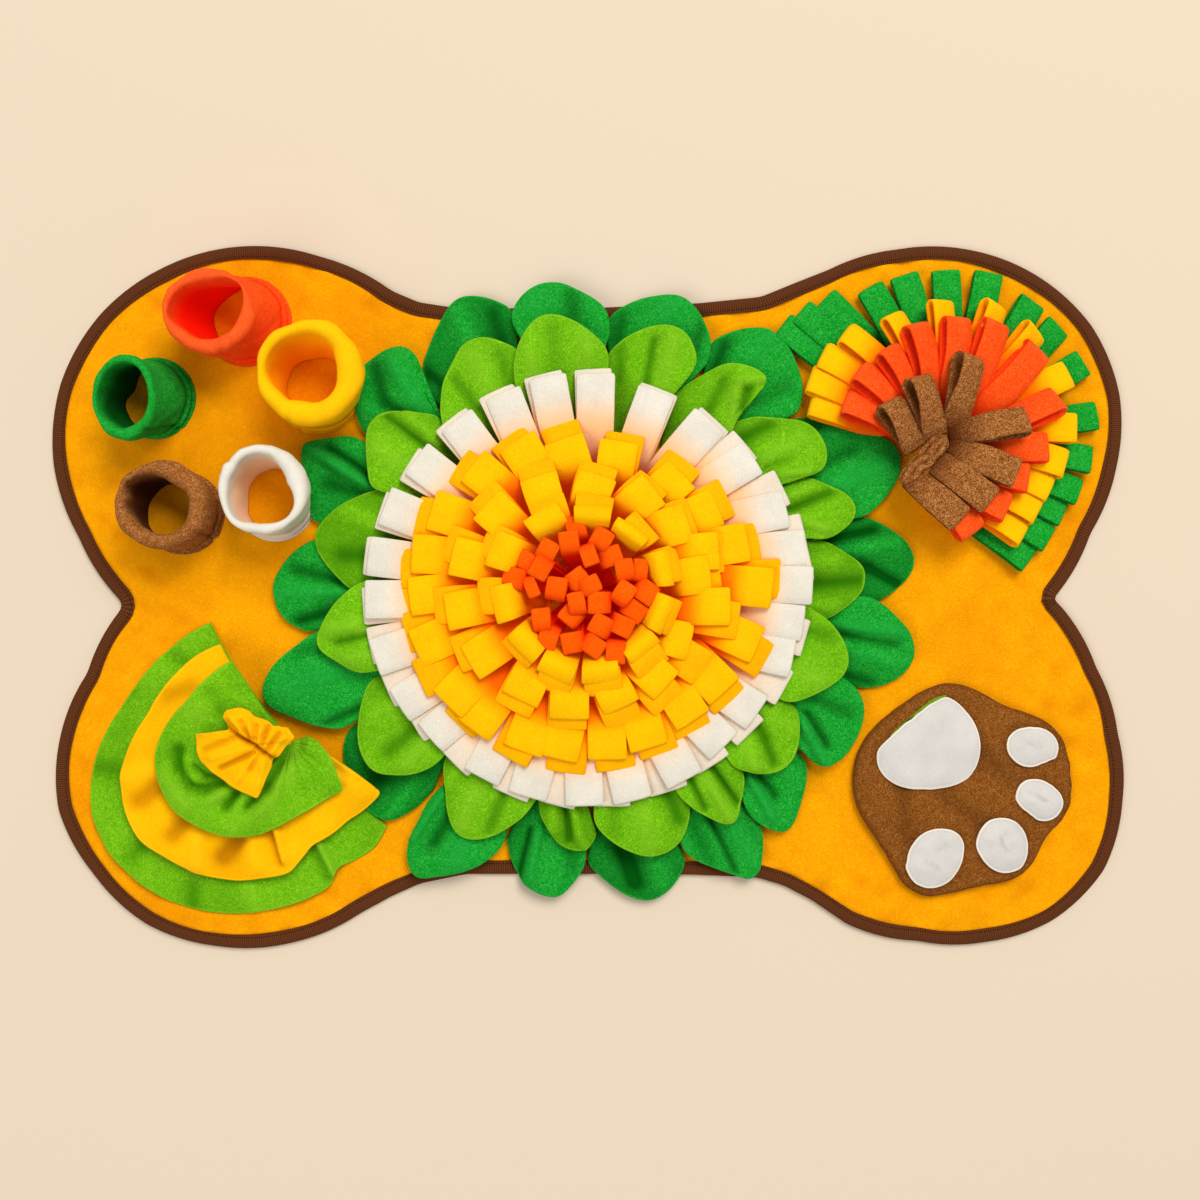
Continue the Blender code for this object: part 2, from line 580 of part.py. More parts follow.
def make_tube(name, colour, foot, rim, wall, height):
    """A hollow tube of folded fleece: seam allowance at the foot, leaning wall, rolled rim."""
    foot_x, foot_y, foot_radius = foot
    rim_x, rim_y, rim_along, rim_across = rim
    angles = np.linspace(0, 360, TUBE_SIDES, endpoint=False)
    thin = wall * 0.55
    # Each section: share of the height, and how far it is moved out from the outer wall.
    sections = (
        (0.0, TUBE_SEAM), (0.09, 0.0), (0.6, 0.0), (0.92, 0.0), (1.0, -wall / 2),
        (0.92, -wall), (0.6, -thin), (0.0, -thin),
    )
    rings = []
    for share, out in sections:
        lean = ease(share)
        centre = np.array([foot_x + (rim_x - foot_x) * lean, foot_y + (rim_y - foot_y) * lean])
        radii = np.array([foot_radius + (rim_along - foot_radius) * lean, foot_radius + (rim_across - foot_radius) * lean])
        plan = heading(angles) * (radii + out) + centre
        rings.append(np.column_stack([plan, np.full(TUBE_SIDES, SEAT + (height - SEAT) * share)]))
    solid(name, *loft(rings), colour)


def paw_top(x, y):
    """The height of the padded paw's upper side at a point."""
    dx, dy = x - PAW[0], y - PAW[1]
    share = np.hypot(dx, dy) / reach_at(PAW_EDGE, np.degrees(np.arctan2(dy, dx)))
    return PAW_RIM_TOP + PAW_CROWN * (1 - np.minimum(share, 1) ** 2)


def make_paw():
    """The padded paw: drawn in at its foot, full at the side, crowned on top."""
    angles = np.linspace(0, 360, PAW_SIDES, endpoint=False)
    edge = reach_at(PAW_EDGE, angles)
    rings = []
    for share, height in ((0.97, SEAT), (1.0, 8.0), (0.96, None), (0.72, None), (0.45, None), (0.2, None)):
        plan = heading(angles) * (edge * share)[:, None] + np.array(PAW)
        tall = paw_top(plan[:, 0], plan[:, 1]) if height is None else np.full(PAW_SIDES, height)
        rings.append(np.column_stack([plan, tall]))
    points, faces = loft(rings)
    faces = faces[:-PAW_SIDES]
    last = (len(rings) - 1) * PAW_SIDES
    faces += [tuple(range(PAW_SIDES)), tuple(range(last, last + PAW_SIDES))]
    solid("paw_body", points, faces, "paw_brown")


def make_pad(name, centre, rim):
    """A flat applique on the paw, following its crown."""
    count = len(rim)
    top, below = [], []
    for share in (0.5, 1.0):
        plan = rim * share + np.array(centre)
        low = paw_top(plan[:, 0], plan[:, 1]) + PAD_GAP
        below.append(np.column_stack([plan, low]))
        top.append(np.column_stack([plan, low + PAD_DEPTH]))
    points, faces = loft(top + below[::-1])
    faces = faces[:-count]
    last = 3 * count
    faces += [tuple(range(count)), tuple(range(last, last + count))]
    solid(name, points, faces, "pad_white")


def make_pads():
    """The paw's main pad and its four toes."""
    angles = np.array([row[0] for row in MAIN_PAD_EDGE], float)
    reaches = np.array([row[1] for row in MAIN_PAD_EDGE], float)
    make_pad("paw_main_pad", MAIN_PAD, heading(angles) * reaches[:, None])
    for number, (x, y, long, short, turn) in enumerate(PAW_TOES):
        round_angles = np.linspace(0, 360, 14, endpoint=False)
        oval = heading(round_angles) * np.array([long, short])
        along, aside = heading(turn), heading(turn + 90)
        rim = oval[:, :1] * along + oval[:, 1:] * aside
        make_pad(f"paw_toe_{number + 1}", (x, y), rim)


def clear_scene():
    """Start from a scene with no objects."""
    for old in list(bpy.data.objects):
        bpy.data.objects.remove(old, do_unlink=True)


clear_scene()
edge = bone_outline()
make_panel(edge)
make_binding(edge)
make_petals("petal_dark", DARK_PETALS, DARK_HEIGHT[0][0], DARK_HEIGHT, "green")
make_petals("petal_light", LIGHT_PETALS, LIGHT_HEIGHT[0][0], LIGHT_HEIGHT, "light_green")
make_strips("strips_white", FLOWER, [(WHITE_RING, WHITE_STRIPS)], STRIP_DEPTH, "white", True)
make_strips("strips_yellow_outer", FLOWER, [(YELLOW_OUTER_RING, YELLOW_OUTER_STRIPS)], STRIP_DEPTH, "yellow", True)
yellow_inside = [(YELLOW_INNER_RING, YELLOW_INNER_STRIPS), (YELLOW_MIDDLE_RING, YELLOW_MIDDLE_STRIPS)]
make_strips("strips_yellow_inner", FLOWER, yellow_inside, STRIP_DEPTH, "yellow", True)
make_heart()
make_strips("loops_green", LOOP_FAN, [LOOP_GREEN], LOOP_DEPTH, "green", False)
make_strips("loops_yellow", LOOP_FAN, [LOOP_YELLOW], LOOP_DEPTH, "yellow", False)
make_strips("loops_coral", LOOP_FAN, [LOOP_CORAL], LOOP_DEPTH, "coral", False)
make_strips("loops_brown", LOOP_FAN, [LOOP_BROWN], LOOP_DEPTH, "brown", False)
make_fan()
make_bow()
for tube_name, tube in TUBES.items():
    make_tube(tube_name, *tube)
make_paw()
make_pads()
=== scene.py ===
# %% [markdown]
# # A bone-shaped snuffle mat
# The mat is a flat fleece toy for a pet: an orange panel with a woven edge, a big flower of cut
# petals and doubled strips, five tubes, a ruffled fan with a bow, a fan of loops and a padded paw.
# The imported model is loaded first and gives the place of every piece. Everything after it is the
# cloth, made piece by piece as thin sheets with their own folds.

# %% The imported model
import math

import bmesh
import bpy
import numpy as np
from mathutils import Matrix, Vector


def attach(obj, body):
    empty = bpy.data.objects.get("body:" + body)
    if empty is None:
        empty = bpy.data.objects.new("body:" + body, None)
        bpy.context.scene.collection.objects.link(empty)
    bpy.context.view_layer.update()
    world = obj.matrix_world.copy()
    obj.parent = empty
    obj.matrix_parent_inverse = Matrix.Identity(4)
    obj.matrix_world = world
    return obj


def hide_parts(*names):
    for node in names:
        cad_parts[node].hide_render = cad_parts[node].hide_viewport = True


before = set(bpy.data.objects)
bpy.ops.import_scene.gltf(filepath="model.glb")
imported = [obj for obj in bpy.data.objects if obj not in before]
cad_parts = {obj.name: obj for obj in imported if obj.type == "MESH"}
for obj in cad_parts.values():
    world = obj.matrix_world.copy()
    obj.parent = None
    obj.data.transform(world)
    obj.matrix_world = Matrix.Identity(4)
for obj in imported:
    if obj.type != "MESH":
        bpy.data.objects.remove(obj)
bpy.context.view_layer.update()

MM = 0.001  # metres in a millimetre
CENTRE = np.array([0.12, -0.22, 0.0])  # the drawing's middle, which lies at the origin

# %% [markdown]
# ## Small helpers
# Lengths are in millimetres and angles in degrees, counter-clockwise from +X as seen from above.
# Cloth is never quite flat, so most sheets add a ripple: a few sine waves in random directions
# from a fixed seed look like slack cloth, and come out the same on every run.

# %% Directions, easing and ripples
def heading(angle):
    """The unit vector (cos, sin) that an angle points to, for a number or an array."""
    turn = np.radians(angle)
    return np.stack([np.cos(turn), np.sin(turn)], axis=-1)


def ease(share):
    """A smooth step: 3s^2 - 2s^3 between 0 and 1."""
    share = np.clip(share, 0, 1)
    return share * share * (3 - 2 * share)


def ripple(x, y, wavelength, seed, waves=6):
    """The mean of a few sine waves in random directions, each near the wavelength, about +-1."""
    rng = np.random.default_rng(seed)
    total = np.zeros(np.broadcast(x, y).shape)
    for _ in range(waves):
        out = heading(rng.uniform(0, 360)) / (wavelength * rng.uniform(0.7, 1.5))
        total += np.sin(2 * np.pi * (x * out[0] + y * out[1] + rng.uniform()))
    return total / waves * 1.6


def bump_at(value, middle, width):
    """A soft hump: exp(-((value - middle) / width)^2)."""
    return np.exp(-((value - middle) / width) ** 2)


def raised(plan, height):
    """Points (x, y, z) from a grid of places (x, y) and their heights."""
    return np.concatenate([plan, np.broadcast_to(height, plan.shape[:2])[..., None]], axis=2)


def unit(vectors, least=0.0):
    """Vectors scaled to length 1: v / (|v| + least)."""
    return vectors / (np.linalg.norm(vectors, axis=-1, keepdims=True) + least)


print("a step up:", ease(np.linspace(0, 1, 5)).round(2))

# %% [markdown]
# ## Putting a surface into Blender
# Every surface is worked out with numpy as points and faces. One function makes the mesh, turns
# its faces outwards, names the piece, gives it its cloth and hides the CAD solids that it stands for.

# %% From arrays to a piece
def put(name, points, faces, material, nodes=(), uv=None, tone=None):
    """A finished piece from points in millimetres and faces. It rides on the mat's one body.

    Tone is painted light at each point: 1 for painted shade deep in a fold, 0 in the open, -1 for
    a painted highlight at a cut edge.
    """
    mesh = bpy.data.meshes.new(name)
    places = (np.asarray(points, float).reshape(-1, 3) - CENTRE) * MM
    mesh.from_pydata(places.tolist(), [], [list(map(int, face)) for face in faces])
    if uv is not None:
        corners = np.empty(len(mesh.loops), dtype=np.int64)
        mesh.loops.foreach_get("vertex_index", corners)
        layer = mesh.uv_layers.new(name="Cloth")
        layer.uv.foreach_set("vector", (np.asarray(uv, float) * MM)[corners].ravel())
    if tone is not None:
        tones = mesh.attributes.new("Tone", "FLOAT", "POINT").data
        tones.foreach_set("value", np.asarray(tone, float).ravel())
    body = bmesh.new()
    body.from_mesh(mesh)
    bmesh.ops.recalc_face_normals(body, faces=body.faces)
    body.to_mesh(mesh)
    body.free()
    mesh.shade_smooth()
    mesh.materials.append(material)
    piece = bpy.data.objects.new(name, mesh)
    bpy.context.scene.collection.objects.link(piece)
    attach(piece, "root")
    if nodes:
        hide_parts(*nodes)
    return piece


def rows_to_faces(rows, columns, wrap_rows=False, wrap_columns=False):
    """The four-cornered faces between neighbouring rows and columns of a grid of points."""
    r = np.arange(rows if wrap_rows else rows - 1)[:, None]
    c = np.arange(columns if wrap_columns else columns - 1)[None, :]
    below, beside = (r + 1) % rows, (c + 1) % columns
    corners = [r * columns + c, r * columns + beside, below * columns + beside, below * columns + c]
    return np.stack([np.broadcast_to(k, (r.size, c.size)) for k in corners], axis=-1).reshape(-1, 4)


def closed_dome(rings, top_pole, bottom_pole):
    """Points and faces of rings from the middle of the top, over the rim, to the bottom's middle.

    Neighbouring rings are joined by four-cornered faces, and each pole to its ring by triangles.
    """
    rows, columns = rings.shape[:2]
    points = np.concatenate([rings.reshape(-1, 3), [top_pole, bottom_pole]])
    first, last = rows * columns, (rows - 1) * columns
    faces = rows_to_faces(rows, columns, wrap_columns=True).tolist()
    faces += [(first, k, (k + 1) % columns) for k in range(columns)]
    faces += [(first + 1, last + (k + 1) % columns, last + k) for k in range(columns)]
    return points, faces


# %% [markdown]
# ## A cut piece of fleece
# A petal or a fan sheet is one thickness of fleece with a cut edge. A Solidify modifier would
# give it square edges, and fleece has soft ones. So the middle surface is moved half a thickness
# to either side along its normal, and closed with a rim that stands out a little.

# %% A sheet with soft edges
def cut_sheet(middle, thickness, tone):
    """Points, faces and tone of a closed sheet on a grid of middle points.

    Normal = across x along. Top and bottom are the middle +- normal * thickness / 2, and the rim
    is the border moved outwards by 0.4 thickness.
    """
    rows, columns = middle.shape[:2]
    along, across = np.gradient(middle, axis=0), np.gradient(middle, axis=1)
    normal = unit(np.cross(across, along), 1e-9)
    if normal[..., 2].mean() < 0:
        normal = -normal
    out = np.zeros_like(middle)
    out[0] -= unit(along[0])
    out[-1] += unit(along[-1])
    out[:, 0] -= unit(across[:, 0])
    out[:, -1] += unit(across[:, -1])
    out = unit(out, 1e-9)
    top = (middle + normal * thickness / 2).reshape(-1, 3)
    bottom = (middle - normal * thickness / 2).reshape(-1, 3)
    grid = np.arange(rows * columns).reshape(rows, columns)
    border = np.concatenate([grid[0, :-1], grid[:-1, -1], grid[-1, :0:-1], grid[:0:-1, 0]])
    rim = (middle + out * thickness * 0.4).reshape(-1, 3)[border]
    faces = rows_to_faces(rows, columns)
    size, ahead = rows * columns, np.roll(border, -1)
    here = 2 * size + np.arange(len(border))
    beyond = np.roll(here, -1)
    upper = np.stack([ahead, border, here, beyond], axis=1)
    lower = np.stack([beyond, here, border + size, ahead + size], axis=1)
    points = np.concatenate([top, bottom, rim])
    # The rim's tone of -1 is a painted highlight along the cut edge.
    tones = np.concatenate([tone.ravel(), tone.ravel(), np.full(len(border), -1.0)])
    return points, np.concatenate([faces, faces[:, ::-1] + size, upper, lower]), tones


def relief(x, y, folds):
    """Soft ridges and troughs, each rise * exp(-(distance to its line / width)^2).

    Where ridges meet, the height is the cube root of the sum of their cubes, so that a bend in a
    fold doesn't stand up twice as high. The same goes for troughs. A fold is (x, y) at its start,
    (x, y) at its end, its width and its rise.
    """
    ridges, troughs = np.zeros((2, *np.broadcast(x, y).shape))
    for start_x, start_y, end_x, end_y, width, rise in folds:
        run_x, run_y = end_x - start_x, end_y - start_y
        share = ((x - start_x) * run_x + (y - start_y) * run_y) / (run_x ** 2 + run_y ** 2 + 1e-9)
        share = np.clip(share, 0, 1)
        away = np.hypot(x - start_x - share * run_x, y - start_y - share * run_y)
        lift = rise * np.exp(-(away / width) ** 2)
        ridges += np.clip(lift, 0, None) ** 3
        troughs += np.clip(-lift, 0, None) ** 3
    return np.cbrt(ridges) - np.cbrt(troughs)


def run_along(line):
    """The length run from a line's start to each of its points: the sum of its steps."""
    return np.concatenate([[0], np.cumsum(np.linalg.norm(np.diff(line, axis=0), axis=1))])


def soft_line(corners, count, passes=3, closed=False):
    """Even points along a line of corners, each averaged with its neighbours (1/4, 1/2, 1/4)."""
    corners = np.array(corners, float)
    if closed:
        corners = np.vstack([corners, corners[:1]])
    run = run_along(corners)
    spots = np.linspace(0, run[-1], count, endpoint=not closed)
    line = np.stack([np.interp(spots, run, corners[:, k]) for k in range(corners.shape[1])], axis=1)
    for _ in range(passes):
        mean = (np.roll(line, 1, axis=0) + 2 * line + np.roll(line, -1, axis=0)) / 4
        if not closed:
            mean[0], mean[-1] = line[0], line[-1]
        line = mean
    return line


# %% [markdown]
# ## Fleece
# The mat is anti-pill polyester fleece: a knit brushed up into a short nap. It has no gloss, it
# brightens a little at grazing angles, and the nap clumps into pale flecks 1 to 2 mm across. A
# distorted noise gives the clumps and the bump, and a broad one the patches left by brushing.

# %% Colours and node helper
def linear(hex_colour):
    """The linear values of an sRGB hex colour, each ((c + 0.055) / 1.055)^2.4, and an alpha of 1."""
    channels = [int(hex_colour[i:i + 2], 16) / 255 for i in (0, 2, 4)]
    return [c / 12.92 if c <= 0.04045 else ((c + 0.055) / 1.055) ** 2.4 for c in channels] + [1.0]


def add(tree, kind, sockets=None, **settings):
    """A node with its own settings, and its input sockets set to values or linked to outputs."""
    new = tree.nodes.new(kind)
    for name, value in settings.items():
        setattr(new, name, value)
    for name, value in (sockets or {}).items():
        if isinstance(value, bpy.types.NodeSocket):
            tree.links.new(value, new.inputs[name])
        else:
            new.inputs[name].default_value = value
    return new


def blank_cloth(name, roughness, sheen, sheen_tint):
    """A material with only its shader, matt and without metal, and the shader itself."""
    material = bpy.data.materials.new(name)
    material.use_nodes = True
    shader = material.node_tree.nodes["Principled BSDF"]
    shader.inputs["Roughness"].default_value = roughness
    shader.inputs["Specular IOR Level"].default_value = 0.05
    shader.inputs["Sheen Weight"].default_value = sheen
    shader.inputs["Sheen Roughness"].default_value = 0.5
    shader.inputs["Sheen Tint"].default_value = linear(sheen_tint)
    return material, material.node_tree, shader


# %% The fleece material
FLECK = 2.0  # mm, the clumps of the nap; single fibres are too fine to show, so they are left out
PATCH = 26.0  # mm, the patches left by brushing


def fleece(name, body, tips, deep, edge, flecks=0.6, sheen=0.1, fleck_size=FLECK, depth=0.6, through=0.0,
           patchy=0.06):
    """Napped fleece: the body's colour with paler tips, a deep colour as painted shade in folds, and an
    edge colour as a painted highlight on fuzzy cut edges.

    Flecks is how strong the pale clumps are, fleck_size and depth their size and height in mm,
    patchy how uneven the brushing is, and through the strength of a painted glow: the folds give off
    their deep colour as light, standing in for light that seeps through thin pale fleece.
    """
    material, tree, shader = blank_cloth(name, 0.95, sheen, tips)
    shader.inputs["Emission Strength"].default_value = through
    place = add(tree, "ShaderNodeTexCoord").outputs["Object"]
    nap = add(tree, "ShaderNodeTexNoise", {
        "Vector": place, "Scale": 1 / (fleck_size * MM), "Detail": 1.2, "Roughness": 0.55, "Distortion": 2.2})
    patch = add(tree, "ShaderNodeTexNoise", {"Vector": place, "Scale": 1 / (PATCH * MM), "Detail": 2.0})
    # The tone is painted light: above 0 it mixes in the deep colour as painted shade, below 0 the edge colour
    # as a painted highlight.
    tone = add(tree, "ShaderNodeAttribute", attribute_name="Tone").outputs["Fac"]
    inside = add(tree, "ShaderNodeMapRange", {"Value": tone})
    fuzz_highlight = add(tree, "ShaderNodeMapRange", {"Value": tone, "From Max": -1.0})
    clumps = add(tree, "ShaderNodeMapRange", {
        "Value": nap.outputs["Fac"], "From Min": 0.45, "From Max": 0.62, "To Max": flecks})
    patches = add(tree, "ShaderNodeMapRange", {
        "Value": patch.outputs["Fac"], "From Min": 0.3, "From Max": 0.7,
        "To Min": 1 - patchy, "To Max": 1 + 0.8 * patchy})
    colour = linear(body)
    for share, other in ((clumps, tips), (inside, deep), (fuzz_highlight, edge)):
        colour = add(tree, "ShaderNodeMix", {
            0: share.outputs["Result"], 6: colour, 7: linear(other)}, data_type="RGBA").outputs[2]
    shade = add(tree, "ShaderNodeVectorMath", {
        0: colour, "Scale": patches.outputs["Result"]}, operation="SCALE")
    tree.links.new(shade.outputs["Vector"], shader.inputs["Base Color"])
    # Painted glow: the folds give off their deep colour as light, more the deeper the tone.
    painted_glow_colour = add(tree, "ShaderNodeVectorMath", {
        0: linear(deep)[:3], "Scale": inside.outputs["Result"]}, operation="SCALE")
    tree.links.new(painted_glow_colour.outputs["Vector"], shader.inputs["Emission Color"])
    bump = add(tree, "ShaderNodeBump", {
        "Height": nap.outputs["Fac"], "Strength": 0.7, "Distance": depth * MM})
    tree.links.new(bump.outputs["Normal"], shader.inputs["Normal"])
    return material


# Each cloth: its body colour, the nap's tips, the colour of the painted shade deep in a fold, warm
# where it stands in for light bounced between bright cloths, and the painted highlight of its fuzzy
# cut edge.
ORANGE = fleece("Orange fleece", "F09600", "FFB206", "D66A00", "FFAE1E", 0.75, patchy=0.08)
DARK_GREEN = fleece("Dark green fleece", "008A1A", "3CBC4C", "004E0A", "1E9E3A", 0.7)
LIGHT_GREEN = fleece("Light green fleece", "5AA402", "94D026", "327400", "86C024", 0.7)
YELLOW = fleece("Yellow fleece", "FFB600", "FFCA08", "F46400", "FFC814", 0.6, through=0.09)
# The yellow fleece again, with a brown-yellow painted shade in its folds and no painted glow, for the fan and
# the bow.
YELLOW_BROWN_SHADE = fleece("Yellow fleece with brown painted shade", "FDB200", "FFC60A", "C07A00", "FFC210", 0.6)
CORAL = fleece("Coral fleece", "F64608", "FF7230", "F81400", "FF7038", 0.6, through=0.07)
FLAME = fleece("Flame orange fleece", "F85400", "FF7010", "E41400", "FF7A18", 0.5, through=0.08)
WHITE = fleece("White fleece", "DED6C4", "ECE6D6", "F8BE84", "F0EADE", 0.5, through=0.04)
BROWN = fleece("Brown fleece", "7C3E0E", "C68C50", "4A1C06", "A0622C", 0.8, fleck_size=2.1)
print("fleece colours:", len(bpy.data.materials))

# %% [markdown]
# ## The panel
# The panel is the ground of everything: one bone-shaped sheet of orange fleece. A plain disc
# would do for a flat sheet, but it lies in soft waves and puckers a little where the binding
# pulls it in. The bone is star-shaped about its middle, so rings of the outline shrunk towards
# the middle cover it.

# %% The bone's outline
# Each lobe: its centre, the angles its rim runs between, and the rim's distance at even steps.
LOBES = {
    "upper right": ((287.0, 133.3), (-52, 121), (172, 159, 161, 166, 168, 166, 164, 163, 167)),
    "upper left": ((-277.6, 123.2), (50, 228), (177, 173, 174, 175, 177, 177, 174, 169, 173)),
    "lower left": ((-292.8, -136.4), (128, 308), (163, 149, 154, 160, 158, 161, 160, 162, 166)),
    "lower right": ((305.6, -145.6), (-124, 58), (158, 148, 149, 154, 155, 148, 145, 151, 169)),
}
WAIST_ABOVE = ((173, 265.5), (145, 254), (94, 248.8), (0, 244.5), (-75, 244.5), (-116, 245.5),
               (-142, 249.5))
WAIST_BELOW = (
    (-164, -252.7), (-141, -242.5), (-102, -234.5), (0, -234.5), (86, -235), (142, -237.5), (164, -244),
    (187, -256))
LOBE_POINTS = 41  # along each lobe's rim
TRIM = 1.6  # mm that the sewn edge draws in


def inwards(line):
    """The unit normal of a closed counter-clockwise line, towards its inside."""
    run = np.roll(line, -1, axis=0) - np.roll(line, 1, axis=0)
    return unit(np.stack([-run[:, 1], run[:, 0]], axis=1))


def bone_outline(step):
    """The mat's edge, counter-clockwise, as points about a step apart with soft corners.

    The lobes' rims and the waists are joined, spaced evenly, and softened twice.
    """
    corners = []
    for lobe, waist in zip(LOBES, (WAIST_ABOVE, (), WAIST_BELOW, ())):
        centre, (start, end), reaches = LOBES[lobe]
        steps = np.linspace(0, len(reaches) - 1, LOBE_POINTS)
        distances = np.interp(steps, range(len(reaches)), reaches)
        rim = np.array(centre) + heading(np.linspace(start, end, LOBE_POINTS)) * distances[:, None]
        corners += [*rim, *np.array(waist, float).reshape(-1, 2)]
    girth = run_along(np.array([*corners, corners[0]]))[-1]
    line = soft_line(corners, int(girth / step), 2, closed=True)
    return line + inwards(line) * TRIM


EDGE = bone_outline(6.0)
print("edge:", len(EDGE), "points round the bone")

# %% The orange panel
PANEL_TOP = 3.0
PANEL_INSET = 2.0  # mm that the panel's raw edge lies inside the binding's


def panel_height(x, y, share):
    """The panel's top: 3 mm, slow waves of 0.7 mm, and puckers near the binding."""
    puckers = ripple(x, y, 26, 12) * ease((share - 0.76) / 0.16) * ease((0.99 - share) / 0.04)
    return PANEL_TOP + 0.7 * ripple(x, y, 80, 11) * ease((0.97 - share) / 0.2) + 1.1 * puckers


def panel_tone(x, y, share):
    """Painted shade: a little darker in the hollows of the puckers. The tone is also darker in broad
    patches.
    """
    puckers = ripple(x, y, 26, 12) * ease((share - 0.7) / 0.16) * ease((0.99 - share) / 0.04)
    return np.clip(-0.25 * puckers, 0, 0.3) + np.clip(0.22 * ripple(x, y, 110, 14), 0, 0.3)


def make_panel():
    """Rings of the outline shrunk towards the middle, share * outline, with a top and a bottom.

    The bottom rises by 1.4 mm near the edge, over the binding's lower lip.
    """
    rim = EDGE + inwards(EDGE) * PANEL_INSET
    shares = np.concatenate([np.linspace(0.03, 0.75, 38), np.linspace(0.76, 1.0, 34)])[:, None]
    x, y, share = shares * rim[:, 0], shares * rim[:, 1], shares * np.ones(len(rim))
    top = np.stack([x, y, panel_height(x, y, share)], axis=2)
    bottom = np.stack([x, y, 1.4 * ease((share - 0.93) / 0.03)], axis=2)[::-1]
    points, faces = closed_dome(np.concatenate([top, bottom]), (0, 0, PANEL_TOP), (0, 0, 0))
    tone = np.concatenate([panel_tone(x, y, share).ravel(), np.zeros(share.size + 2)])
    panel = put("orange_panel", points, faces, ORANGE, ["base_panel"], tone=tone)
    return panel


PANEL = make_panel()
print("panel:", len(PANEL.data.polygons), "faces")

# %% [markdown]
# ## The binding
# A woven tape is folded over the panel's raw edge and sewn down near its inner side. The tape is
# a curve's bevel by nature, but its ribs have to run across it, so it is a profile carried along
# the outline with its own UV map in real lengths: U along the edge and V across the tape. The
# stitches are small rods, all in one mesh.

# %% Woven tape
RIB = 1.9  # mm between the tape's cross ribs, as coarse as it takes for them to show
BAND = 0.314  # the wave texture's scale at which its bands lie 1 m apart


def woven_tape(name):
    """Polyester tape from a narrow loom: cross ribs along U that catch the light as pale lines.

    The height is 0.65 of the ribs and 0.35 of a fuzz, and the colour goes from furrow to rib.
    """
    material, tree, shader = blank_cloth(name, 0.72, 0.12, "B07A50")
    cloth = add(tree, "ShaderNodeUVMap", uv_map="Cloth").outputs["UV"]
    ribs = add(tree, "ShaderNodeTexWave", {
        "Vector": cloth, "Scale": BAND / (RIB * MM), "Distortion": 0.6, "Detail": 1.0, "Detail Scale": 2.0},
        bands_direction="X")
    fuzz_highlight = add(tree, "ShaderNodeTexNoise", {"Vector": cloth, "Scale": 1 / (0.9 * MM), "Detail": 2.0})
    depth = add(tree, "ShaderNodeMix", {
        0: 0.35, 2: ribs.outputs["Fac"], 3: fuzz_highlight.outputs["Fac"]}, data_type="FLOAT")
    colour = add(tree, "ShaderNodeMix", {
        0: depth.outputs[0], 6: linear("3A1A0A"), 7: linear("6E3C1C")}, data_type="RGBA")
    tree.links.new(colour.outputs[2], shader.inputs["Base Color"])
    bump = add(tree, "ShaderNodeBump", {
        "Height": depth.outputs[0], "Strength": 0.7, "Distance": 0.4 * MM})
    tree.links.new(bump.outputs["Normal"], shader.inputs["Normal"])
    return material


TAPE = woven_tape("Ribbed polyester tape")
# Spun polyester thread is as matt as the cloth, so it is the same material with finer flecks.
THREAD = fleece("Brown sewing thread", "3C1706", "5E2C10", "3C1706", "5E2C10", 0.4, 0.1, 0.8, 0.1)
print("tape and thread:", TAPE.name, "and", THREAD.name)


# %% The tape round the edge
EDGE_STEP = 3.0  # mm between the rows of the binding


def make_binding():
    """A C-shaped profile (inset, height) carried along the outline, its lips a little wavy."""
    profile = np.array([
        (11.4, 3.7), (11.5, 4.3), (10.8, 4.75), (9.0, 4.2), (8.1, 4.9), (5.6, 5.1), (2.4, 4.9), (0.7, 4.3),
        (0.0, 3.2), (0.0, 1.4), (0.6, 0.2), (2.0, 0.0), (8.0, 0.0), (12.8, 0.0), (13.3, 0.5), (13.2, 1.0),
        (2.0, 1.0), (1.7, 2.4), (2.0, 3.7)])
    fine = bone_outline(EDGE_STEP)
    normal = inwards(fine)
    run = np.arange(len(fine)) * EDGE_STEP
    width = 1 + 0.035 * np.sin(run / 41) + 0.03 * np.sin(run / 17 + 1)
    inset = profile[:, 0] * np.where(profile[:, 0] > 9, width[:, None], 1)
    plan = fine[:, None] + normal[:, None] * inset[..., None]
    points = raised(plan, profile[:, 1])
    faces = rows_to_faces(len(fine), len(profile), wrap_rows=True, wrap_columns=True)
    uv = np.stack(np.broadcast_arrays(run[:, None], run_along(profile)), axis=2).reshape(-1, 2)
    tape = put("woven_binding", points, faces, TAPE, ["edge_binding"], uv)
    return tape


def make_stitches(name, line, pitch, length, thickness, material):
    """Rods of six sides along a closed line, each as long as a stitch and sunk at its ends.

    Point = middle + (side * cos a + up * sin a) * girth, with the girth of an ellipse.
    """
    closed = np.vstack([line, line[:1]])
    run = run_along(closed)
    count = int(run[-1] / pitch)
    share = np.linspace(-0.5, 0.5, 5)
    spots = np.arange(count)[:, None] * run[-1] / count + share * length
    middle = np.stack([np.interp(spots % run[-1], run, closed[:, k]) for k in range(3)], axis=2)
    ahead = unit(np.gradient(middle, axis=1))
    side = np.cross(ahead, [0, 0, 1])
    up = np.cross(side, ahead)
    middle[..., 2] += thickness * (0.35 - 2.2 * share ** 2)
    round_it = np.arange(6) * np.pi / 3
    girth = thickness / 2 * np.sqrt(np.clip(1 - (share * 1.85) ** 2, 0.05, 1))
    ring = side[:, :, None] * np.cos(round_it)[:, None] + up[:, :, None] * np.sin(round_it)[:, None]
    points = middle[:, :, None] + ring * girth[:, None, None]
    one = rows_to_faces(5, 6, wrap_columns=True).tolist() + [[5, 4, 3, 2, 1, 0], [24, 25, 26, 27, 28, 29]]
    faces = [[k + start for k in face] for start in range(0, count * 30, 30) for face in one]
    return put(name, points, faces, material)


